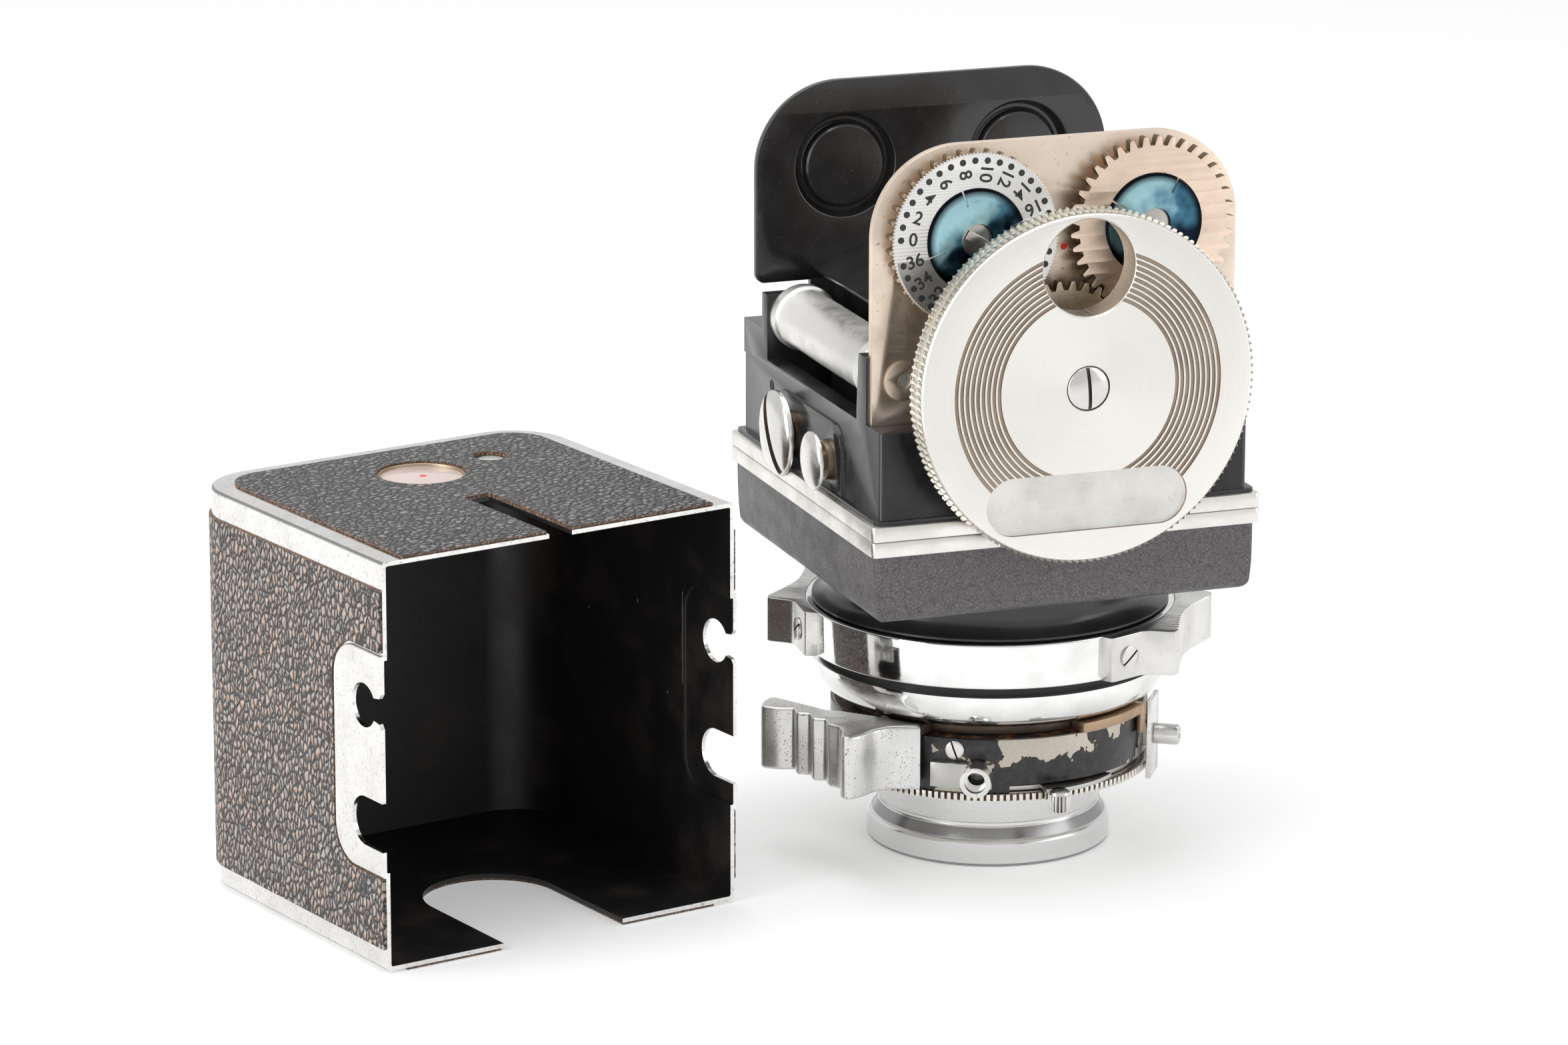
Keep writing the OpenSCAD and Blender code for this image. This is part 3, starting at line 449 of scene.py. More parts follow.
def cast_alloy():
    """Tumbled casting: satin grey with small dark pits, thicker in some places."""
    paint = Paint("cast_alloy", (0.66, 0.66, 0.65), metallic=1, roughness=0.34)
    cloud = paint.noise(5, 3)
    uneven = paint.math("ADD", paint.noise(0.24, 2, 0.5), paint.ramp(cloud, 0.3, 0.7, -0.05, 0.05))
    pits = paint.ramp(uneven, 0.64, 0.7)
    tone = paint.blend(paint.ramp(cloud, 0.3, 0.7), (0.62, 0.62, 0.61), (0.74, 0.73, 0.71))
    paint.color(paint.blend(pits, tone, (0.17, 0.145, 0.1)))
    paint.roughness(paint.ramp(cloud, 0.3, 0.7, 0.28, 0.42))
    paint.bump(pits, -0.03)
    return paint


def turned_metal(name, color, rough, centre, across, lines=0.012, tangent="Z"):
    """Metal from a lathe: fine rings about an axis, with the gloss drawn out across them."""
    paint = Paint(name, color, metallic=1, roughness=rough, Anisotropic=0.55)
    made = paint.node("Tangent", direction_type="RADIAL", axis=tangent)
    paint.feed(paint.shader.inputs["Tangent"], made.outputs[0])
    given = {"W": paint.about(centre, across), "Scale": 9, "Detail": 3}
    fine = paint.node("TexNoise", given, noise_dimensions="1D").outputs["Fac"]
    cloud = paint.noise(5, 3)
    paint.roughness(paint.math("ADD", paint.ramp(fine, 0.3, 0.7, rough * 0.7, rough * 1.3),
                               paint.ramp(cloud, 0.4, 0.7, 0, 0.08)))
    specks = paint.ramp(paint.noise(0.35, 3, 0.6), 0.66, 0.74, 0, 0.5)
    shade = paint.blend(paint.ramp(fine, 0.35, 0.65), [0.88 * c for c in color], color)
    paint.color(paint.blend(specks, shade, [0.5 * c for c in color]))
    paint.bump(fine, lines)
    return paint


def enamel(name, color, rough, dust=0.35, coat=0, ripple=0.004):
    """Black enamel with small dust specks and a slightly uneven gloss."""
    paint = Paint(name, color, roughness=rough, Coat_Weight=coat, Coat_Roughness=0.08)
    cloud = paint.noise(7, 4)
    specks = paint.ramp(paint.noise(0.3, 2, 0.5), 0.73, 0.78, 0, dust)
    tone = paint.blend(paint.ramp(cloud, 0.35, 0.7), color, [1.8 * c + 0.004 for c in color])
    paint.color(paint.blend(specks, tone, (0.35, 0.33, 0.31)))
    paint.roughness(paint.ramp(cloud, 0.3, 0.7, rough * 0.8, rough * 1.35))
    paint.bump(paint.noise(1.6, 3), ripple)
    return paint


def worn_edge(name, color, metal_color, share=0.5):
    """Paint that is rubbed through to the metal in places, for the edges of painted pieces."""
    paint = Paint(name, color, roughness=0.4)
    wear = paint.ramp(paint.noise(2.2, 6, 0.7), share - 0.04, share + 0.04)
    paint.color(paint.blend(wear, color, metal_color))
    paint.metallic(wear)
    paint.bump(wear, -0.02)
    return paint


def crackle_paint():
    """Grey wrinkle paint: fine pale specks all over, hairline cracks and a few bright sparks."""
    paint = Paint("crackle_paint", (0.12, 0.113, 0.113), roughness=0.45)
    worms = paint.ramp(paint.noise(0.26, 3, 0.6, distortion=0.5), 0.42, 0.62)
    tone = paint.blend(worms, (0.088, 0.082, 0.083), (0.185, 0.176, 0.176))
    net = paint.cells(2.1, paint.wobbled(1.2, 1.4))
    tone = paint.blend(paint.ramp(net, 0, 0.035, 0.8, 0), tone, (0.045, 0.041, 0.041))
    sparks = paint.ramp(paint.noise(0.17, 1, 0.4), 0.765, 0.8)
    paint.color(paint.blend(sparks, tone, (0.75, 0.74, 0.72)))
    paint.roughness(paint.ramp(paint.noise(2.6, 3), 0.3, 0.7, 0.36, 0.52))
    paint.bump(worms, 0.016)
    return paint


def leather(name, dark, worn, warm, stretch=(1, 1, 0.64), pebble=0.95, depth=0.3, glint=0.6):
    """Pebbled leather with painted light: painted shade in the hollows, pebbles worn pale with a painted
    sheen, some of them warm brown, painted shade and a painted highlight on the sides of each pebble, and
    pale marks of rubbed wear and painted glints.
    """
    paint = Paint(name, dark, roughness=0.42, Specular_IOR_Level=0.55)
    shaken = paint.vector("MULTIPLY", paint.wobbled(1.6, 0.7), stretch)
    crease = paint.cells(pebble, shaken)
    grain = paint.noise(0.17, 3, 0.6)
    patch = paint.noise(6, 4)
    # the hollows between pebbles take the dark tone as painted shade, and the tops take the worn tone,
    # which also stands for a painted sheen
    tops = paint.math("MULTIPLY", paint.ramp(crease, 0.04, 0.24), paint.ramp(grain, 0.3, 0.62, 0.6, 1))
    warmth = paint.math("MULTIPLY", paint.ramp(crease, 0.14, 0.3), paint.ramp(patch, 0.34, 0.56))
    tone = paint.blend(tops, dark, paint.blend(warmth, worn, warm))
    # painted relief: the crease one step towards the light, so that each pebble gets painted shade on one
    # side and a painted highlight on the other
    crease_toward_light = paint.cells(pebble, paint.vector("ADD", shaken, (-0.11, 0.11, 0.11)))
    slope_to_light = paint.math("SUBTRACT", crease, crease_toward_light)
    tone = paint.blend(paint.ramp(slope_to_light, -0.02, -0.14, 0, 0.85), tone, dark)
    tone = paint.blend(paint.ramp(slope_to_light, 0.04, 0.16, 0, glint), tone, (0.6, 0.58, 0.56))
    # pale marks that are partly rubbed wear and partly painted glints
    glint_threads = paint.ramp(paint.noise(0.34, 3, 0.6, distortion=1), 0.64, 0.68, 0, glint)
    rubbed = paint.math("MULTIPLY", glint_threads, paint.ramp(patch, 0.66, 0.46))
    paint.color(paint.blend(rubbed, tone, (0.62, 0.6, 0.58)))
    paint.roughness(paint.ramp(grain, 0.3, 0.7, 0.3, 0.55))
    below = paint.bump(grain, 0.03)
    paint.bump(paint.ramp(crease, 0, 0.32), depth, below)
    return paint


def chipped_enamel():
    """Black enamel flaked off to pale metal in large ragged chips, most of them near the top edge."""
    paint = Paint("chipped_enamel", (0.018, 0.018, 0.019), roughness=0.26)
    split = paint.node("SeparateXYZ", {0: paint.place})
    height = split.outputs["Z"]
    ragged = paint.noise(6, 4, 0.55, distortion=0.4)
    left = paint.ramp(split.outputs["X"], -9, -5, -0.14, 0)
    top = paint.math("ADD", paint.ramp(height, 16.5, 21.6, -0.05, 0.12), left)
    edge = paint.ramp(height, 13.5, 14.3, 0.09, 0)
    torn = paint.math("ADD", ragged, paint.math("MAXIMUM", top, edge))
    chips = paint.ramp(torn, 0.598, 0.606)
    rim = paint.math("MULTIPLY", paint.ramp(torn, 0.585, 0.598), paint.ramp(torn, 0.606, 0.598))
    grain = paint.noise(0.3, 3)
    bare = paint.blend(grain, (0.4, 0.36, 0.3), (0.66, 0.61, 0.54))
    faded = paint.ramp(paint.noise(1.2, 4), 0.4, 0.7)
    black = paint.blend(faded, (0.014, 0.014, 0.015), (0.04, 0.039, 0.04))
    paint.color(paint.blend(rim, paint.blend(chips, black, bare), (0.05, 0.032, 0.02)))
    paint.metallic(paint.math("MULTIPLY", chips, 0.8))
    paint.roughness(paint.ramp(chips, 0, 1, 0.24, 0.45))
    paint.bump(chips, -0.05)
    return paint


def blued(name, x):
    """Heat-blued spring steel with painted light: a painted teal highlight towards the upper left, and
    painted shade that is nearly black at the rim and lower right.
    """
    paint = Paint(name, (0.03, 0.09, 0.16), metallic=1, roughness=0.2)
    centre = (x, 0, SPOOL_Z)
    # painted light: its share grows towards the upper left, where the highlight is painted
    slope_to_light = paint.vector("DOT_PRODUCT", paint.vector("SUBTRACT", paint.place, centre), (-0.6, 0, 0.8))
    painted_light_share = paint.math("ADD", slope_to_light, paint.ramp(paint.noise(4, 2), 0.3, 0.7, -3, 3))
    # painted shade in dark blue towards the lower right, then teal and a pale painted highlight towards
    # the upper left
    tone = paint.blend(paint.ramp(painted_light_share, -4, 1), (0.008, 0.016, 0.03), (0.07, 0.2, 0.3))
    tone = paint.blend(paint.ramp(painted_light_share, 0.5, 4.5), tone, (0.36, 0.6, 0.66))
    # painted shade: a nearly black ring at the rim, where the dome meets its dark gap
    rim = paint.ramp(paint.about(centre, FRONT_AXIS), 6.3, 7.3)
    paint.color(paint.blend(rim, tone, (0.006, 0.008, 0.012)))
    paint.roughness(paint.ramp(paint.noise(2, 3), 0.3, 0.7, 0.14, 0.3))
    paint.bump(paint.noise(1.5, 2), 0.004)
    return paint


def rusty():
    """Dark metal with orange rust, for the gap above the shutter."""
    paint = Paint("rusty_metal", (0.03, 0.025, 0.02), metallic=0.4, roughness=0.6)
    rust = paint.ramp(paint.noise(1.5, 5, 0.65), 0.5, 0.62)
    paint.color(paint.blend(rust, (0.022, 0.02, 0.02), (0.23, 0.09, 0.03)))
    paint.bump(paint.noise(0.4, 4), 0.04)
    return paint


def glass(name, color, rough=0.05, cloud=0):
    """Glass, clear or milky, that needs no light from behind to be seen."""
    paint = Paint(name, color, roughness=rough, Transmission_Weight=1 - cloud, IOR=1.5)
    haze = paint.noise(3, 3)
    paint.color(paint.blend(haze, color, [0.9 * c for c in color]))
    paint.roughness(paint.ramp(haze, 0.3, 0.7, rough, rough * 1.6))
    return paint


def shell_inside_paint():
    """Black paint inside the shell with large brown patches of painted sheen, rubbed to pale metal in
    small places.
    """
    paint = Paint("shell_inside", (0.012, 0.011, 0.011), roughness=0.42)
    cloud = paint.noise(11, 5, 0.6)
    # painted sheen: large brown patches on the black
    brown = paint.ramp(cloud, 0.52, 0.72, 0, 0.7)
    tone = paint.blend(brown, (0.01, 0.009, 0.009), (0.045, 0.032, 0.026))
    chips = paint.math("MULTIPLY", paint.ramp(paint.noise(1.5, 4, 0.6), 0.72, 0.74),
                       paint.ramp(paint.noise(14, 2), 0.5, 0.6))
    paint.color(paint.blend(chips, tone, (0.42, 0.36, 0.3)))
    paint.roughness(paint.ramp(cloud, 0.3, 0.7, 0.34, 0.6))
    paint.bump(paint.noise(0.5, 4, 0.6), 0.02)
    return paint


MATERIALS = (
    turned_metal("wheel_metal", (0.84, 0.82, 0.78), 0.34, (0, 0, WHEEL_Z), FRONT_AXIS, 0.006, "Y"),
    metal("groove_metal", (0.34, 0.275, 0.215), 0.5, spots=0.9, grain=0.02),
    metal("pocket_metal", (0.7, 0.68, 0.65), 0.42, scratch=0.2, spots=0.25, grain=0.006),
    metal("knurl_metal", (0.84, 0.82, 0.76), 0.3, spots=0.25),
    metal("knurl_side", (0.56, 0.53, 0.46), 0.36, spots=0.6),
    turned_metal("dial_metal", (0.8, 0.79, 0.77), 0.36, (-SPOOL_X, 0, SPOOL_Z), FRONT_AXIS, 0.004, "Y"),
    enamel("dial_ink", (0.02, 0.02, 0.02), 0.5),
    metal("gear_brass", (0.6, 0.5, 0.38), 0.34, spots=0.7, grain=0.006),
    metal("gear_nickel", (0.84, 0.67, 0.54), 0.36, scratch=0.06, spots=0.45, grain=0.004),
    # dirt and painted shade for the sides of gear teeth
    metal("tooth_dirt", (0.2, 0.145, 0.09), 0.5, spots=0.6),
    metal("plate_nickel", (0.84, 0.71, 0.59), 0.38, scratch=0.08, spots=0.75, grain=0.005),
    # blued steel with a painted highlight and painted shade, one for each dome
    blued("blued_left", -SPOOL_X),
    blued("blued_right", SPOOL_X),
    metal("fork_steel", (0.55, 0.53, 0.5), 0.3, spots=0.3),
    metal("screw_steel", (0.74, 0.73, 0.71), 0.2, spots=0.15),
    # darker metal for slots and gaps, and for the grip's thin ring
    metal("slot_dirt", (0.13, 0.1, 0.08), 0.6, spots=0.5),
    metal("roller_metal", (0.84, 0.83, 0.8), 0.4, scratch=0.06, spots=0.25, grain=0.003),
    metal("disc_steel", (0.74, 0.73, 0.71), 0.2, scratch=0.1, spots=0.3),
    metal("stud_brass", (0.45, 0.36, 0.26), 0.4, spots=0.6),
    metal("satin_chrome", (0.8, 0.78, 0.74), 0.3, scratch=0.16, spots=0.12),
    metal("polished_chrome", (0.88, 0.88, 0.87), 0.07, scratch=0.03),
    metal("grip_nickel", (0.72, 0.71, 0.69), 0.27, scratch=0.14, spots=0.3),
    cast_alloy(),
    metal("worn_chrome", (0.74, 0.73, 0.71), 0.2, scratch=0.12, spots=0.45),
    metal("serrated_chrome", (0.78, 0.75, 0.69), 0.26, spots=0.3),
    # a dark copy of the ring's chrome, for painted shade on the front ring's edges
    turned_metal("ring_bevel", (0.33, 0.33, 0.33), 0.2, (0, 0, 0), (0, 0, 1), 0.003),
    metal("rusty_steel", (0.44, 0.31, 0.21), 0.42, scratch=0.1, spots=0.95),
    metal("lever_steel", (0.52, 0.51, 0.49), 0.34, scratch=0.05, spots=0.2),
    turned_metal("barrel_metal", (0.84, 0.84, 0.83), 0.26, (0, 0, 0), (0, 0, 1), 0.003),
    turned_metal("ring_chrome", (0.78, 0.78, 0.78), 0.16, (0, 0, 0), (0, 0, 1), 0.003),
    chipped_enamel(),
    rusty(),
    crackle_paint(),
    enamel("housing_paint", (0.018, 0.018, 0.019), 0.2, dust=0.3),
    worn_edge("housing_edge", (0.012, 0.012, 0.013), (0.7, 0.64, 0.55), 0.46),
    enamel("gloss_enamel", (0.022, 0.022, 0.023), 0.3, dust=0.5, coat=0.15, ripple=0.002),
    enamel("plate_enamel", (0.013, 0.013, 0.014), 0.19, dust=0.5, coat=0.4),
    enamel("matt_black", (0.012, 0.012, 0.012), 0.6, dust=0.2),
    # the same leather twice: the copy for the sides is painted lighter, its pale tone partly a painted
    # sheen, and the copy for the top is darker
    leather("shell_leather", (0.013, 0.009, 0.008), (0.37, 0.335, 0.315), (0.66, 0.4, 0.26)),
    leather("shell_leather_top", (0.006, 0.005, 0.005), (0.2, 0.195, 0.2),
            (0.23, 0.205, 0.195), (1, 1, 1), 1.2, 0.45, 0.3),
    leather("leather_edge", (0.06, 0.03, 0.015), (0.3, 0.15, 0.07), (0.42, 0.2, 0.09),
            pebble=0.4, depth=0.05, glint=0.1),
    metal("shell_nickel", (0.84, 0.83, 0.81), 0.13, scratch=0.3, spots=0.15, grain=0.003, strokes=0.6),
    # a dark copy of the shell's nickel, a painted dark reflection on its rounded edges
    metal("rim_line", (0.36, 0.35, 0.35), 0.2, scratch=0.3, strokes=0.3),
    shell_inside_paint(),
    metal("worn_strip", (0.55, 0.48, 0.38), 0.5, spots=0.9),
    glass("pink_glass", (0.9, 0.74, 0.68), 0.12, 0.85),
    glass("grey_glass", (0.72, 0.73, 0.7), 0.15, 0.85),
    glass("lens_glass", (0.92, 0.95, 0.98), 0.02),
    enamel("red_dot", (0.7, 0.03, 0.02), 0.4, dust=0),
    metal("blade_steel", (0.12, 0.12, 0.13), 0.35),
)
M = {paint.name: paint.material for paint in MATERIALS}


# Winding wheel and gears

def knurl_row(r, low, high, count, height=0.42):
    """Flat-topped blocks round a rim, with slanting gaps between them."""
    bm = bmesh.new()
    step = 360 / count
    root = r - height
    reach = (high - low) * 0.3
    mid = (low + high) / 2
    foot = ((-0.5, mid), (-0.12, low), (0.5, mid), (0.12, high))
    head = ((-0.24, mid - 0.1), (-0.02, mid - reach), (0.24, mid + 0.1), (0.02, mid + reach))
    for i in range(count):
        lower = [bm.verts.new((*polar(root, (i + share) * step), z)) for share, z in foot]
        upper = [bm.verts.new((*polar(r, (i + share) * step), z)) for share, z in head]
        bm.faces.new(upper).material_index = 3
        for k in range(4):
            n = (k + 1) % 4
            bm.faces.new([lower[k], lower[n], upper[n], upper[k]]).material_index = 4
    bmesh.ops.recalc_face_normals(bm, faces=bm.faces)
    return bm


def build_wheel():
    front, back, rim = 38.5, 33.8, 26.6
    grooves, groove_from, pitch, land = 9, 13.5, 0.84, 0.27
    knurls = 148
    profile = [(0, SEAT_Y), (3.4, SEAT_Y), (3.4, 38.44), (3.46, front)]
    marks = {1: 1}
    for i in range(grooves):
        r = groove_from + i * pitch
        marks.update({len(profile) + k: 1 for k in range(3)})
        profile += [(r + land, front), (r + land + 0.05, front - 0.16),
                    (r + pitch - 0.05, front - 0.16), (r + pitch, front)]
    profile += [(25.6, front), (25.95, front - 0.08), (26.15, front - 0.35), (26.18, front - 2.1),
                (25.9, front - 2.2), (25.9, front - 2.5), (26.18, front - 2.6), (26.15, back + 0.2),
                (25.9, back), (1.8, back), (1.8, 36.9), (0, 36.9)]
    body = turned(profile, 240, marks)
    finger = turned([(0, back - 1), (7.3, back - 1), (7.3, front - 0.25), (7.55, front), (7.6, front + 1),
                     (0, front + 1)], 96)
    finger = moved(finger, Matrix.Translation((0, 18.1, 0)))
    half, end = (31.8 - 8.8) / 2, 4.4
    stadium = arc(end, 90, 270, 20, (-half, -17.1)) + arc(end, -90, 90, 20, (half, -17.1))
    # the pocket's walls take the dark groove metal: a dark outline round the recess that is painted shade
    # along with dirt
    pocket = sides_painted(painted(plate([stadium], front - 0.5, front + 2, 0.18, 3), 2), 1)
    body = carved(body, finger, pocket)
    rows = [knurl_row(rim, front - 2.12, front - 0.2, knurls),
            knurl_row(rim, back + 0.12, front - 2.55, knurls)]
    shape = joined(body, *rows)
    stand_in(moved(shape, facing_front(0, WHEEL_Z)), "advance_wheel",
             "wheel_metal", "groove_metal", "pocket_metal", "knurl_metal", "knurl_side", smooth=25)


def screw_head(r, height, slot=0.22, depth=0.6, dome=0.5, steps=48):
    """A domed head with a straight slot, its base at z = 0. The slot's faces carry material 1."""
    rise = height * dome
    top = oval(r, rise, range(12, 90, 13), (0, height - rise))
    head = turned([(0, 0), (r, 0), (r, height - rise)] + top + [(0, height)], steps)
    half = r * slot / 2
    groove = block((-r - 1, -half, height * (1 - depth)), (r + 1, half, height + 1), 0.02)
    return carved(head, painted(groove, 1))


def build_screws():
    wheel = moved(screw_head(3.35, 1.18, 0.16, 0.5, 0.75), lift(SEAT_Y) @ rotation(94))
    stand_in(moved(wheel, facing_front(0, WHEEL_Z)), "wheel_screw", "screw_steel", "slot_dirt")
    grips = []
    for side in (0, 180):
        for a in (-30.5, 30.5):
            head = moved(screw_head(1.7, 0.52, 0.2, 0.7, 0.25), rotation(125), lift(30.12))
            grips.append(moved(head, radial(GRIP_ANGLE + side + a, LOCK_Z + LOCK_H / 2)))
    stand_in(joined(*grips), "grip_screws", "screw_steel", "slot_dirt")
    covers = []
    for a in (-123.6, 70):
        head = screw_head(1.45, 0.6, 0.2, 0.7, 0.3)
        covers.append(moved(head, rotation(20), lift(24.3), radial(a, 20.2)))
    stand_in(joined(*covers), "cover_screws", "screw_steel", "slot_dirt")


def dial_outline(r, teeth, depth=0.28):
    points = []
    for i in range(teeth):
        a = 360 * i / teeth
        points += [polar(r - depth, a), polar(r, a + 288 / teeth), polar(r, a + 324 / teeth)]
    return points


def figure(text, size, thickness=0.03):
    """A counting figure as a thin raised shape."""
    curve = bpy.data.curves.new("figure", "FONT")
    curve.body = text
    curve.size = size
    curve.align_x = "CENTER"
    curve.align_y = "CENTER"
    curve.extrude = thickness / 2
    curve.offset = 0.05
    return applied(linked("figure", curve))


def build_dial():
    spot = facing_front(-SPOOL_X, SPOOL_Z)
    disc = plate([dial_outline(13, 152), circle(2.5)], DIAL_FACE - 0.6, DIAL_FACE, 0.05)
    stand_in(moved(disc, spot), "counter_dial", "dial_metal")
    spaces, zero_at, dots_r, figures_r = 38, 176.5, 11.8, 9.9
    inks = []
    for n in range(spaces - 1):
        angle = zero_at - 360 / spaces * n
        dot = circle(0.5, polar(dots_r, angle), 20)
        inks.append(plate([dot], DIAL_FACE - 0.05, DIAL_FACE + 0.02, 0.005))
        if n % 2 == 0:
            at = Matrix.Translation((*polar(figures_r, angle), DIAL_FACE + 0.01))
            inks.append(moved(figure(str(n), 2.75), at @ rotation(angle - 180)))
    place(moved(joined(*inks), spot), "counter_dial", "dial_ink", name="dial_figures", smooth=20)


def build_dome(node, x, face, turn, material):
    """Spring washer with four short slots in its rim."""
    rise = oval(7.55, 0.53, range(8, 72, 6), (0, 0.12))
    dome = turned([(2.5, 0), (7.7, 0), (7.7, 0.12)] + rise + [(2.5, 0.65)], 120)
    slots = [moved(block((5.3, -0.15, -1), (9, 0.15, 3), 0.02), rotation(turn + 90 * k)) for k in range(4)]
    stand_in(moved(carved(dome, *slots), lift(face), facing_front(x, SPOOL_Z)), node, material)


def gear_outline(teeth, phase):
    """Teeth as in the frame, with rounded tips and roots."""
    pitch_r = GEAR_MODULE * teeth / 2
    step = 360 / teeth
    flank = [(-1.15, -0.33), (0.7, -0.15), (0.9, -0.06)]
    tooth = flank + [(height, -share) for height, share in reversed(flank)]
    return [polar(pitch_r + height * GEAR_MODULE, phase + (i + share) * step)
            for i in range(teeth) for height, share in tooth]


def mesh_phase(a):
    """The turn that puts a spool gear's teeth in the gaps of the wheel's, which it meets at angle a."""
    behind = a / (360 / WHEEL_TEETH) % 1
    return a + 180 + (behind + 0.5) * 360 / SPOOL_TEETH


def build_gears():
    meet = math.degrees(math.atan2(SPOOL_Z - WHEEL_Z, SPOOL_X))
    gears = (("drive_gear", 0, WHEEL_Z, WHEEL_TEETH, 0, 1.8, "gear_brass"),
             ("counter_gear", -SPOOL_X, SPOOL_Z, SPOOL_TEETH, mesh_phase(180 - meet), 2.5, "gear_brass"),
             ("takeup_gear", SPOOL_X, SPOOL_Z, SPOOL_TEETH, mesh_phase(meet), 2.5, "gear_nickel"))
    for node, x, z, teeth, phase, bore, material in gears:
        gear = plate([gear_outline(teeth, phase), circle(bore)], GEAR_FACE - 1.7, GEAR_FACE, 0.07)
        # the sides of the teeth take dark brown: dirt, and painted shade in the gaps between teeth
        stand_in(moved(sides_painted(gear, 1), facing_front(x, z)), node, material, "tooth_dirt")


def build_plates():
    refine("gear_plate", 0.18, "plate_nickel")
    refine("plate_bushes", 0.12, "plate_nickel")
    dot = plate([circle(0.5, (1.3, 97.8), 24)], PLATE_Y - 0.05, PLATE_Y + 0.04, 0.02)
    place(moved(dot, rotation(90, "X")), "gear_plate", "red_dot", name="index_dot")


def build_back_plate():
    """Sheet with a pressed cup for each cassette: a sunk ring round a raised round pad."""
    near, far = -25.6, -26.8
    outline = rounded_bottom(-28.9, 28.9, 83.3, 1.5, 6) + rounded_top(-28.9, 28.9, 114.4, 13.5, 20)
    stem = [(-20, 61.1), (20, 61.1), (20, 84), (-20, 84)]
    holes = [circle(8.1, (x, SPOOL_Z)) for x in (-SPOOL_X, SPOOL_X)]
    sheet = plate([outline] + holes, far, near, 0.25, 2)
    tongue = plate([stem], far + 0.01, near - 0.01, 0.1)
    cup = [(0, 0.15), (5.5, 0.15), (6.05, 0.08), (6.3, -0.15), (6.45, -0.7), (6.6, -1.2), (6.9, -1.4),
           (7.4, -1.4), (7.8, -1.1), (8.15, -0.5), (8.4, -0.12), (8.7, 0), (8.7, -0.9), (8.3, -1.2),
           (7.6, -2.5), (0, -2.5)]
    cups = [moved(turned([(r, near - 0.16 + h) for r, h in cup], 96), Matrix.Translation((x, SPOOL_Z, 0)))
            for x in (-SPOOL_X, SPOOL_X)]
    shape = joined(sheet, tongue, *cups)
    stand_in(moved(shape, rotation(90, "X")), "back_plate", "plate_enamel")


# Body

def refine(node, width, *materials, **options):
    """The node's own shape with its sharp edges softened, as machined metal has them."""
    stand_in(bevelled(cad_shape(node), width, **options), node, *materials)


def build_body():
    refine("lens_box", 0.35, "crackle_paint", segments=3, angle=25)
    refine("frame_lower", 0.22, "satin_chrome")
    refine("frame_upper", 0.28, "satin_chrome")
    refine("film_housing", 0.24, "housing_paint", "housing_edge", edge_material=1)
    # painted shade: a thin matt black disc with a small lip stands for the dark inside of a small hole in
    # the side
    hole = turned([(0, 29.25), (0.85, 29.25), (0.85, 29.33), (0.7, 29.36), (0.6, 29.31), (0, 29.31)], 32)
    place(moved(hole, facing_side(17.3, 69.3, -1)), "film_housing", "matt_black", name="housing_hole_painted_shade")
    refine("film_roof", 0.1, "plate_enamel")
    refine("pressure_plate", 0.1, "matt_black")
    refine("tripod_bush", 0.3, "fork_steel")
    for node in ("wheel_shaft", "supply_fork", "takeup_fork"):
        refine(node, 0.1, "fork_steel")


def build_rollers():
    """Tube with ringed collars and bare pins."""
    back, front = -19.1, 19.4
    collar = [(1, 0), (4.7, 0), (5.1, 0.35), (5.1, 2.2), (4.75, 2.45), (4.6, 2.7)]
    profile = [(0, back - 1.8), (1, back - 1.8)] + [(r, back + h) for r, h in collar]
    profile += [(r, front - h) for r, h in reversed(collar)] + [(1, 24.9), (0, 24.9)]
    for node, x in (("roller_left", -23.9), ("roller_right", 23.9)):
        stand_in(moved(turned(profile, 96), facing_front(x, WHEEL_Z)), node, "roller_metal")


def build_side_fasteners():
    for side, name in ((-1, "left"), (1, "right")):
        neck = turned([(0, 27.3), (2.4, 27.3), (2.4, 29.86), (3.4, 29.86), (3.4, 31.2), (0, 31.2)], 48)
        head = screw_head(6.6, 1.9, 0.24, 0.55, 0.72, 96)
        disc = joined(painted(neck, 2), moved(head, lift(31.1) @ rotation(-30 * side)))
        stand_in(moved(disc, facing_side(8.95, SIDE_Z, side)), "clamp_disc_" + name,
                 "disc_steel", "slot_dirt", "stud_brass")
        neck = turned([(0, 27.3), (3, 27.3), (3, 30.6), (2.9, 30.7), (1.5, 30.75), (1.5, 31.8),
                       (0, 31.8)], 48)
        cap = oval(4.45, 1.1, range(0, 90, 10), (0, 32.15))
        head = turned([(0, 31.75), (4.2, 31.75), (4.45, 31.9)] + cap + [(0, 33.25)], 72)
        stud = joined(head, painted(neck, 1))
        stand_in(moved(stud, facing_side(-8.5, SIDE_Z, side)), "lock_stud_" + name,
                 "disc_steel", "stud_brass")


# Lens and shutter

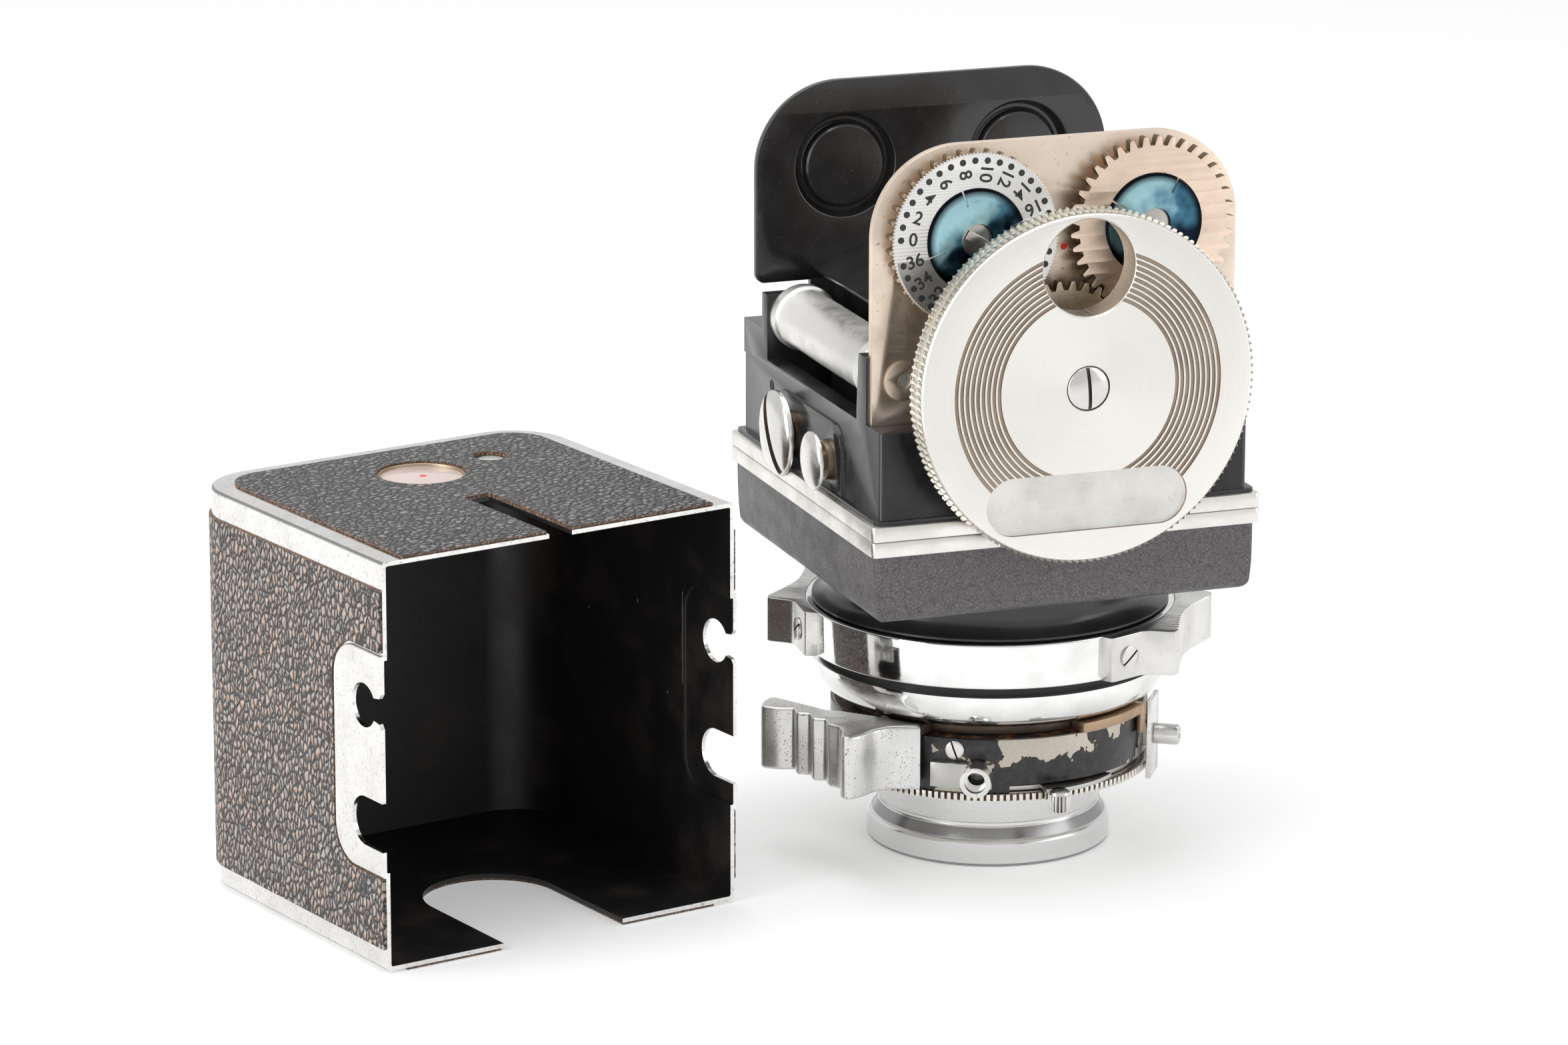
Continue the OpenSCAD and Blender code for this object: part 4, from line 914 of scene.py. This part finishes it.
def build_lens_lock():
    bore, top = 26.65, LOCK_Z + LOCK_H
    corners = [(bore, LOCK_Z), (LOCK_R, LOCK_Z), (LOCK_R, top), (bore, top)]
    ring = rounded_corners(corners, [0.05, 0.35, 0.35, 0.1], 4)
    stand_in(turned(ring, 240), "lock_ring", "polished_chrome")
    for node, side in (("lock_grip_right", 0), ("lock_grip_left", 180)):
        stand_in(moved(grip_shape(), rotation(GRIP_ANGLE + side)), node, "grip_nickel")
    bowl = oval(4.8, 5.6, range(-90, 1, 6), (22.7, 29.3))
    profile = [(17.1, 23.7), (22.2, 23.7)] + bowl
    profile += [(27.5, 29.35), (27.3, 29.45), (20, 29.45), (20, 28.3), (12.05, 28.3), (12.05, 24.7),
                (11, 24.7), (11, 23.7)]
    stand_in(turned(profile, 240), "bowl_ring", "polished_chrome")
    refine("mount_drum", 0.1, "matt_black")
    dish = [(20, 38), (27.1, 38), (27.35, 38.15), (27.3, 38.45), (26.6, 38.7), (25.6, 39.4),
            (25.1, 40.4), (25.2, 41.6), (25.8, 43.9), (20, 43.9)]
    stand_in(turned(dish, 200), "neck_dish", "gloss_enamel")


def grip_shape():
    """Two pads, two horns and a thumb rest with upright ribs."""
    side = [(0.02, 38), (1.7, 37), (1.9, 36), (1.9, 25.5), (2.6, 23.2), (5.3, 20.8), (5.8, 19.9),
            (5.7, 17.6), (5.3, 16.9)]
    ribs, reach = 19, 16.4
    steps = 4 * ribs
    rest = []
    for i in range(steps + 1):
        a = reach - 2 * reach * i / steps
        hollow = LOCK_R + 2.3 + 2.9 * (abs(a) / reach) ** 1.8
        rest.append(polar(hollow + 0.24 * math.sin(math.pi * i / 2), a))
    outline = [polar(LOCK_R + out, a) for out, a in side] + rest
    outline += [polar(LOCK_R + out, -a) for out, a in reversed(side)] + arc(LOCK_R, -38, 38, 30)
    return plate([outline], LOCK_Z, LOCK_Z + LOCK_H, 0.14, 2)


def build_handle():
    """Cast grip: outline with two horns and stair ribs, softened all round, on its thin ring."""
    outline = [(-22, -12.6), (-27, -7.2), (-28.7, -6), (-33.7, 2.9), (-34.6, 3.3), (-36.2, 2),
               (-37.5, -0.6), (-37.3, -1.4), (-35.6, -2.9)]
    along = [(-34.2, -3.2), (-32.9, -6.8), (-31.7, -10.4), (-30.5, -14)]
    stairs = []
    for a, b in zip(along, along[1:]):
        stairs += [(a[0] + 0.9, a[1] - 0.35), (b[0] - 0.75, b[1] + 0.65)]
    outline += stairs + [(-30, -15.2), (-30.6, -17.4), (-31.6, -19.4), (-31.4, -20.7), (-30.3, -21),
                         (-28.2, -20.2), (-25.6, -18.5), (-22.8, -18), (-20.1, -19.2), (-18.9, -19.9),
                         (-18.2, -18.3)]
    outline += [polar(25.25, a) for a in range(-136, -153, -2)]
    soft = [0.2] * 3 + [0.9] * 6 + [0.35] * len(stairs) + [1] * 9 + [0.3] * 2 + [0.1] * 9
    body = plate([rounded_corners(outline, soft, 4)], 14.2, 24.1, 0.5, 3)
    ring = plate([circle(21.8), circle(17.05)], 22.05, 23.55, 0.1)
    lug = [polar(r, a) for r, a in ((21.3, -134), (26.2, -136), (26.2, -156), (21.3, -158))]
    lug = plate([lug], 22.05, 23.55, 0.1)
    shape = joined(body, painted(ring, 1), painted(lug, 1))
    stand_in(shape, "grip_handle", "cast_alloy", "slot_dirt", smooth=40)


def build_shutter():
    refine("shutter_housing", 0.12, "rusty_metal")
    refine("cover_band", 0.12, "chipped_enamel")
    build_speed_ring()
    build_release_socket()
    refine("release_plunger", 0.1, "fork_steel")
    refine("release_lever", 0.2, "rusty_steel")
    refine("sync_plate", 0.15, "worn_chrome")
    build_aperture_lever()
    build_sync_post()
    for i in range(1, 6):
        refine(f"shutter_blade_{i}", 0.03, "blade_steel")


def build_release_socket():
    """Grey curved plate with a bright socket, threaded inside for the cable."""
    socket = bevelled(cad_shape("release_socket"), 0.15)
    painted(socket, 1, lambda face: off_axis(face) > 26.2)
    ridges = [turned([(1.62, h), (1.34, h + 0.14), (1.62, h + 0.28)], 40)
              for h in (25.6, 26.15, 26.7, 27.25, 27.8)]
    thread = painted(moved(joined(*ridges), radial(-115.5, 16.5)), 1)
    stand_in(joined(socket, thread), "release_socket", "lever_steel", "worn_chrome")


def build_speed_ring():
    """Ring with square teeth, and darker faces in the gaps between them."""
    teeth, root, tip = 156, 24.35, 24.9
    tooth = ((0, root), (0.3, root), (0.36, tip - 0.05), (0.42, tip), (0.88, tip), (0.94, tip - 0.05))
    outline = [polar(r, 360 * (i + share) / teeth) for i in range(teeth) for share, r in tooth]
    ring = plate([outline, circle(18.05, steps=120)], 12.3, 13.5, 0.06)
    painted(ring, 1, lambda face: root - 0.3 < off_axis(face) < root + 0.2 and abs(face.normal.z) < 0.5)
    stand_in(ring, "speed_ring", "serrated_chrome", "slot_dirt")


def build_aperture_lever():
    """Thin ring with a crescent arm, and a small knurled knob."""
    knob_at = polar(26.8, -88)
    low, high = 13.66, 14.34
    ring = plate([circle(23.4), circle(18.06)], low, high, 0.05)
    arm = [polar(23, -62), polar(23, -92), polar(26.2, -92)]
    arm += [polar(26.4 - 1.9 * ((a + 88) / 26) ** 1.6, a) for a in range(-88, -61, 2)]
    crescent = plate([arm], low, high, 0.08, 2)
    ribs = [polar(1.7 if k % 4 < 2 else 1.42, 360 * k / 64, knob_at) for k in range(64)]
    knob = painted(plate([ribs], 11, 13.7, 0.05, 1), 1)
    painted(knob, 2, lambda face: off_axis(face, knob_at) < 1.54 and abs(face.normal.z) < 0.5)
    cap = turned([(0, 13.6), (1.55, 13.6), (1.65, 13.75), (1.55, 14.1), (1.1, high), (0, high)], 40)
    cap = painted(moved(cap, Matrix.Translation((*knob_at, 0))), 1)
    shape = joined(ring, crescent, knob, cap)
    stand_in(shape, "aperture_lever", "lever_steel", "worn_chrome", "slot_dirt")


def build_sync_post():
    profile = [(0, 26), (1.6, 26), (1.6, 29.4), (1.48, 29.72), (1.2, 29.78), (1.1, 29.6),
               (1.1, 27), (0, 27)]
    stand_in(moved(turned(profile, 48), radial(-33, 17.5)), "sync_post", "worn_chrome")


def build_lens():
    rim = [(15.6, 0.35), (16, 0), (18.3, 0), (18.6, 0.2), (18.65, 0.5), (18.65, 3.55), (18.45, 3.85),
           (18.1, 4.15), (17.95, 4.2), (17, 5.7), (16.9, 5.85), (15.05, 5.85),
           (15.05, 2.9), (15.6, 2.9)]
    # painted shade: the lower bevel and a small slanted edge at the top take the dark metal
    stand_in(turned(rim, 200, {2: 1, 3: 1, 8: 1}), "front_ring", "ring_chrome", "ring_bevel")
    barrel = [(14, 5.85), (16.65, 5.85), (16.65, 6.3), (17.1, 6.5), (17.25, 6.75), (17.95, 11.8),
              (18, 12.15), (18, 14.5), (14, 14.5)]
    stand_in(turned(barrel, 200), "lens_barrel", "barrel_metal")
    for node in ("front_glass", "rear_glass"):
        refine(node, 0.1, "lens_glass")


# Film shell, in its own frame: x across, y from the open edge inwards, z up as it stands. ON_WALL turns
# local x, y, z into the shell's depth, height and width

SHELL_W, SHELL_D, SHELL_H = 60.2, 56.6, 61.5
SHELL_T, LEATHER_T, SHELL_R = 0.65, 0.45, 9.5
SHELL_AT = Matrix.Translation((-107.2, -35, LEATHER_T)) @ rotation(14)
ON_WALL = Matrix(((0, 0, 1, 0), (1, 0, 0, 0), (0, 1, 0, 0), (0, 0, 0, 1)))
STUD_AT = (SIDE_Z - BODY_Z, SHELL_H / 2 + 8.5)
DISC_AT = (SIDE_Z - BODY_Z, SHELL_H / 2 - 8.95)
INDEX_Y = 39.1
PEEP = (SHELL_W / 2 + SPOOL_X - 0.6, SPOOL_Z - BODY_Z)


def shell_outline(grow, front=0, steps=24):
    w = SHELL_W + grow
    return [(-grow, front), (w, front)] + rounded_top(-grow, w, SHELL_D + grow, SHELL_R + grow, steps)


def tab_outline(grow):
    r = 5.5 + grow
    low, high, middle = 14.25 - grow, 47.55 + grow, 13.5 + grow - r
    return ([(-3, low)] + arc(r, -90, 0, 10, (middle, low + r)) + arc(r, 0, 90, 10, (middle, high - r))
            + [(-3, high)])


def keyhole():
    y, z = STUD_AT
    mouth, lip = 1.7, 0.9
    reach = math.sqrt(3.3 ** 2 - mouth ** 2)
    side = math.degrees(math.atan2(mouth, -reach))
    edge = [(-2, mouth + lip), (0, mouth + lip), (0.55, mouth + 0.2)]
    return ([(x, z + out) for x, out in edge] + arc(3.3, side, -side, 48, (y, z))
            + [(x, z - out) for x, out in reversed(edge)])


def notch():
    y, z = DISC_AT
    return [(-2, z + 3.7)] + arc(3.7, 90, -90, 28, (y, z)) + [(-2, z - 3.7)]


def through_walls(outline):
    return moved(plate([outline], -3, SHELL_W + 3, 0.001, 0), ON_WALL)


def front_wall_cuts(grow, low, high):
    middle = SHELL_W / 2
    x0, x1 = middle - 1.95 - grow, middle + 1.95 + grow
    slot = rounded_bottom(x0, x1, -3, 0.6, 3) + rounded_top(x0, x1, 23 + grow, 0.6, 3)
    return [painted(plate([shape], low, high, 0.001, 0), 1)
            for shape in (slot, circle(6.5 + grow, (middle, INDEX_Y)), circle(2.3 + grow, PEEP, 48))]


def arch_cut(grow, low, high):
    middle = SHELL_W / 2
    r = 10.3 + grow
    outline = arc(r, 0, 180, 40, (middle, 20.3)) + [(middle - r, -3), (middle + r, -3)]
    return painted(plate([outline], low, high, 0.001, 0), 1)


def build_shell():
    outer = plate([shell_outline(0)], 0, SHELL_H, 0.55, 3)
    for vertex in outer.verts:
        if vertex.co.y < 0.56:
            vertex.co.y = 0
    outer.normal_update()
    tabs = moved(plate([tab_outline(0)], -0.5, SHELL_W + 0.5, 0.25, 2), ON_WALL)
    trim = block((-5, -8, -5), (SHELL_W + 5, 0, SHELL_H + 5), 0.01)
    # painted reflection: the middle of the rounded edges takes a dark copy of the nickel
    painted(outer, 2, lambda face: 0.4 < abs(face.normal.z) < 0.85)
    walls = carved(combined(outer, [tabs], "UNION"), trim)
    hollow = plate([shell_outline(-SHELL_T, -3)], SHELL_T, SHELL_H - SHELL_T, 0.3, 2)
    wells = plate([tab_outline(-SHELL_T)], -0.5 + SHELL_T, SHELL_W + 0.5 - SHELL_T, 0.2, 2)
    cuts = [painted(hollow, 1), painted(moved(wells, ON_WALL), 1)]
    cuts += [through_walls(outline) for outline in (keyhole(), notch())]
    cuts += front_wall_cuts(0, SHELL_H - 3, SHELL_H + 3) + [arch_cut(0, -3, 3)]
    shell = carved(walls, *cuts)
    stand_in(moved(shell, SHELL_AT), "shell_box", "shell_nickel", "shell_inside", "rim_line", smooth=30)
    build_worn_line()
    build_leathers()
    build_windows()


def build_worn_line():
    """The rubbed edge of the recess in the right wall, bare along one ragged line."""
    ragged = (0, 0.22, 0.12, 0.3, 0.18, 0.34, 0.2, 0.1, 0.26, 0.08, 0)
    low, rise, at = 30.5, 1.45, SHELL_W - SHELL_T
    outline = [(12.95, low + rise * i) for i in range(len(ragged) - 1, -1, -1)]
    outline += [(13 + out, low + rise * i) for i, out in enumerate(ragged)]
    line = moved(plate([outline], at - 0.03, at + 0.02, 0.005), ON_WALL, SHELL_AT)
    place(line, "shell_box", "worn_strip", name="worn_line")


def leather_sheet(low):
    return sides_painted(plate([shell_outline(-3.5, 0.25, 14)], low, low + LEATHER_T, 0.12, 2), 1)


def build_leathers():
    low, high = 3.2, SHELL_H - 4.2
    band = plate([shell_outline(LEATHER_T - 0.01, 0.3)], low, high, 0.15, 2)
    core = painted(plate([shell_outline(0, -5)], low - 3, high + 3, 0.001, 0), 1)
    window = painted(moved(plate([tab_outline(0.4)], -6, SHELL_W + 6, 0.001, 0), ON_WALL), 1)
    painted(band, 1, lambda face: abs(face.normal.z) > 0.35)
    wrap = carved(band, core, window)
    front = carved(leather_sheet(SHELL_H), *front_wall_cuts(0.3, SHELL_H - 1, SHELL_H + 3))
    back = carved(leather_sheet(-LEATHER_T), arch_cut(0.3, -4, 3))
    for side, sheet, look in (("wrap", wrap, "shell_leather"), ("front", front, "shell_leather_top"),
                              ("back", back, "shell_leather")):
        stand_in(moved(sheet, SHELL_AT), "shell_leather_" + side, look, "leather_edge", smooth=25)


def build_windows():
    top = SHELL_H
    at = Matrix.Translation((SHELL_W / 2, INDEX_Y, 0))
    pane = turned([(0, top - 0.55), (6.47, top - 0.55), (6.47, top - 0.3), (6.2, top - 0.2),
                   (0, top - 0.05)], 96)
    stand_in(moved(pane, at, SHELL_AT), "index_window", "pink_glass")
    bead = [(6.15, top - 0.25), (6.49, top - 0.25), (6.49, top + 0.2), (6.25, top + 0.2)]
    bead = turned(rounded_corners(bead, 0.08), 96)
    place(moved(bead, at, SHELL_AT), "index_window", "stud_brass", name="index_window_rim")
    dot = plate([circle(0.55, (0.1, -0.2), 24)], top - 0.2, top - 0.04, 0.02)
    place(moved(dot, at, SHELL_AT), "index_window", "red_dot", name="index_window_dot")
    peep = turned([(0, top - 0.6), (2.28, top - 0.6), (2.28, top - 0.2), (2, top - 0.05), (0, top)], 48)
    stand_in(moved(peep, Matrix.Translation((*PEEP, 0)), SHELL_AT), "gear_window", "grey_glass")


# Camera, floor and light

def build_camera():
    """The camera of the photograph: place, two angles and a roll, from points measured in it."""
    at = Vector((-374.108, -942.029, 322.77))
    focal_px, width_px = 10301.7, 2352
    yaw, pitch, roll = 0.3469, 0.2637, -0.0009
    data = bpy.data.cameras.new("camera")
    data.sensor_width = 36
    data.lens = focal_px / width_px * data.sensor_width
    data.clip_start = 0.05
    data.clip_end = 20
    forward = Vector((math.sin(yaw) * math.cos(pitch), math.cos(yaw) * math.cos(pitch), -math.sin(pitch)))
    right = Vector((math.cos(yaw), -math.sin(yaw), 0))
    down = forward.cross(right)
    right_r = right * math.cos(roll) + down * math.sin(roll)
    down_r = down * math.cos(roll) - right * math.sin(roll)
    camera = linked("camera", data)
    turn = Matrix((right_r, -down_r, -forward)).transposed().to_4x4()
    camera.matrix_world = Matrix.Translation(at * MM) @ turn
    bpy.context.scene.camera = camera


def seen_apart(nodes, seen, lit, end):
    """One shader to the camera, in mirrors and through glass, and another for the light it gives."""
    path = nodes.node("LightPath").outputs
    direct = nodes.math("MAXIMUM", path["Is Camera Ray"], path["Is Glossy Ray"])
    direct = nodes.math("MAXIMUM", direct, path["Is Transmission Ray"])
    mix = nodes.node("MixShader", {0: direct, 1: lit.outputs[0], 2: seen.outputs[0]})
    nodes.feed(nodes.tree.nodes[end].inputs["Surface"], mix.outputs[0])


def build_world():
    world = bpy.data.worlds.new("world")
    bpy.context.scene.world = world
    nodes = Nodes(world)
    lit, seen = (nodes.node("Background", {"Color": (shade, shade, shade, 1), "Strength": strength})
                 for shade, strength in ((1, 0.42), (0.8, 1)))
    seen_apart(nodes, seen, lit, "World Output")


def build_floor():
    half, r = 3000, 50
    outline = rounded_bottom(-half, half, -half, r) + rounded_top(-half, half, half, r)
    floor = bare_object(plate([outline], -20, 0, 1), "floor")
    floor.data.transform(Matrix.Scale(MM, 4))
    paint = Paint("floor", (0.85, 0.85, 0.85), roughness=0.8)
    glow = paint.node("Emission", {"Strength": 0.3})
    both = paint.node("AddShader", {0: paint.shader.outputs[0], 1: glow.outputs[0]})
    seen_apart(paint, both, paint.shader, "Material Output")
    floor.data.materials.append(paint.material)


def area_light(name, at, target, size, watts):
    data = bpy.data.lights.new(name, "AREA")
    data.shape = "RECTANGLE"
    data.size, data.size_y = size
    data.energy = watts
    light = linked(name, data)
    light.location = at
    light.rotation_euler = (Vector(target) - Vector(at)).to_track_quat("-Z", "Y").to_euler()


def build_lights():
    middle = (-0.04, 0, 0.05)
    area_light("top", (-0.1, 0.1, 1.1), middle, (0.9, 0.9), 6)
    area_light("left", (-1, -0.15, 0.45), middle, (0.7, 0.9), 6)
    area_light("right", (0.9, -0.6, 0.5), middle, (0.6, 0.9), 3)


build_wheel()
build_screws()
build_dial()
build_dome("counter_dome", -SPOOL_X, DIAL_FACE, 17, "blued_left")
build_dome("takeup_dome", SPOOL_X, GEAR_FACE, 59.5, "blued_right")
build_gears()
build_plates()
build_back_plate()
build_body()
build_rollers()
build_side_fasteners()
build_lens_lock()
build_handle()
build_shutter()
build_lens()
build_shell()
build_camera()
build_world()
build_floor()
build_lights()
bpy.context.scene.view_settings.view_transform = "Standard"
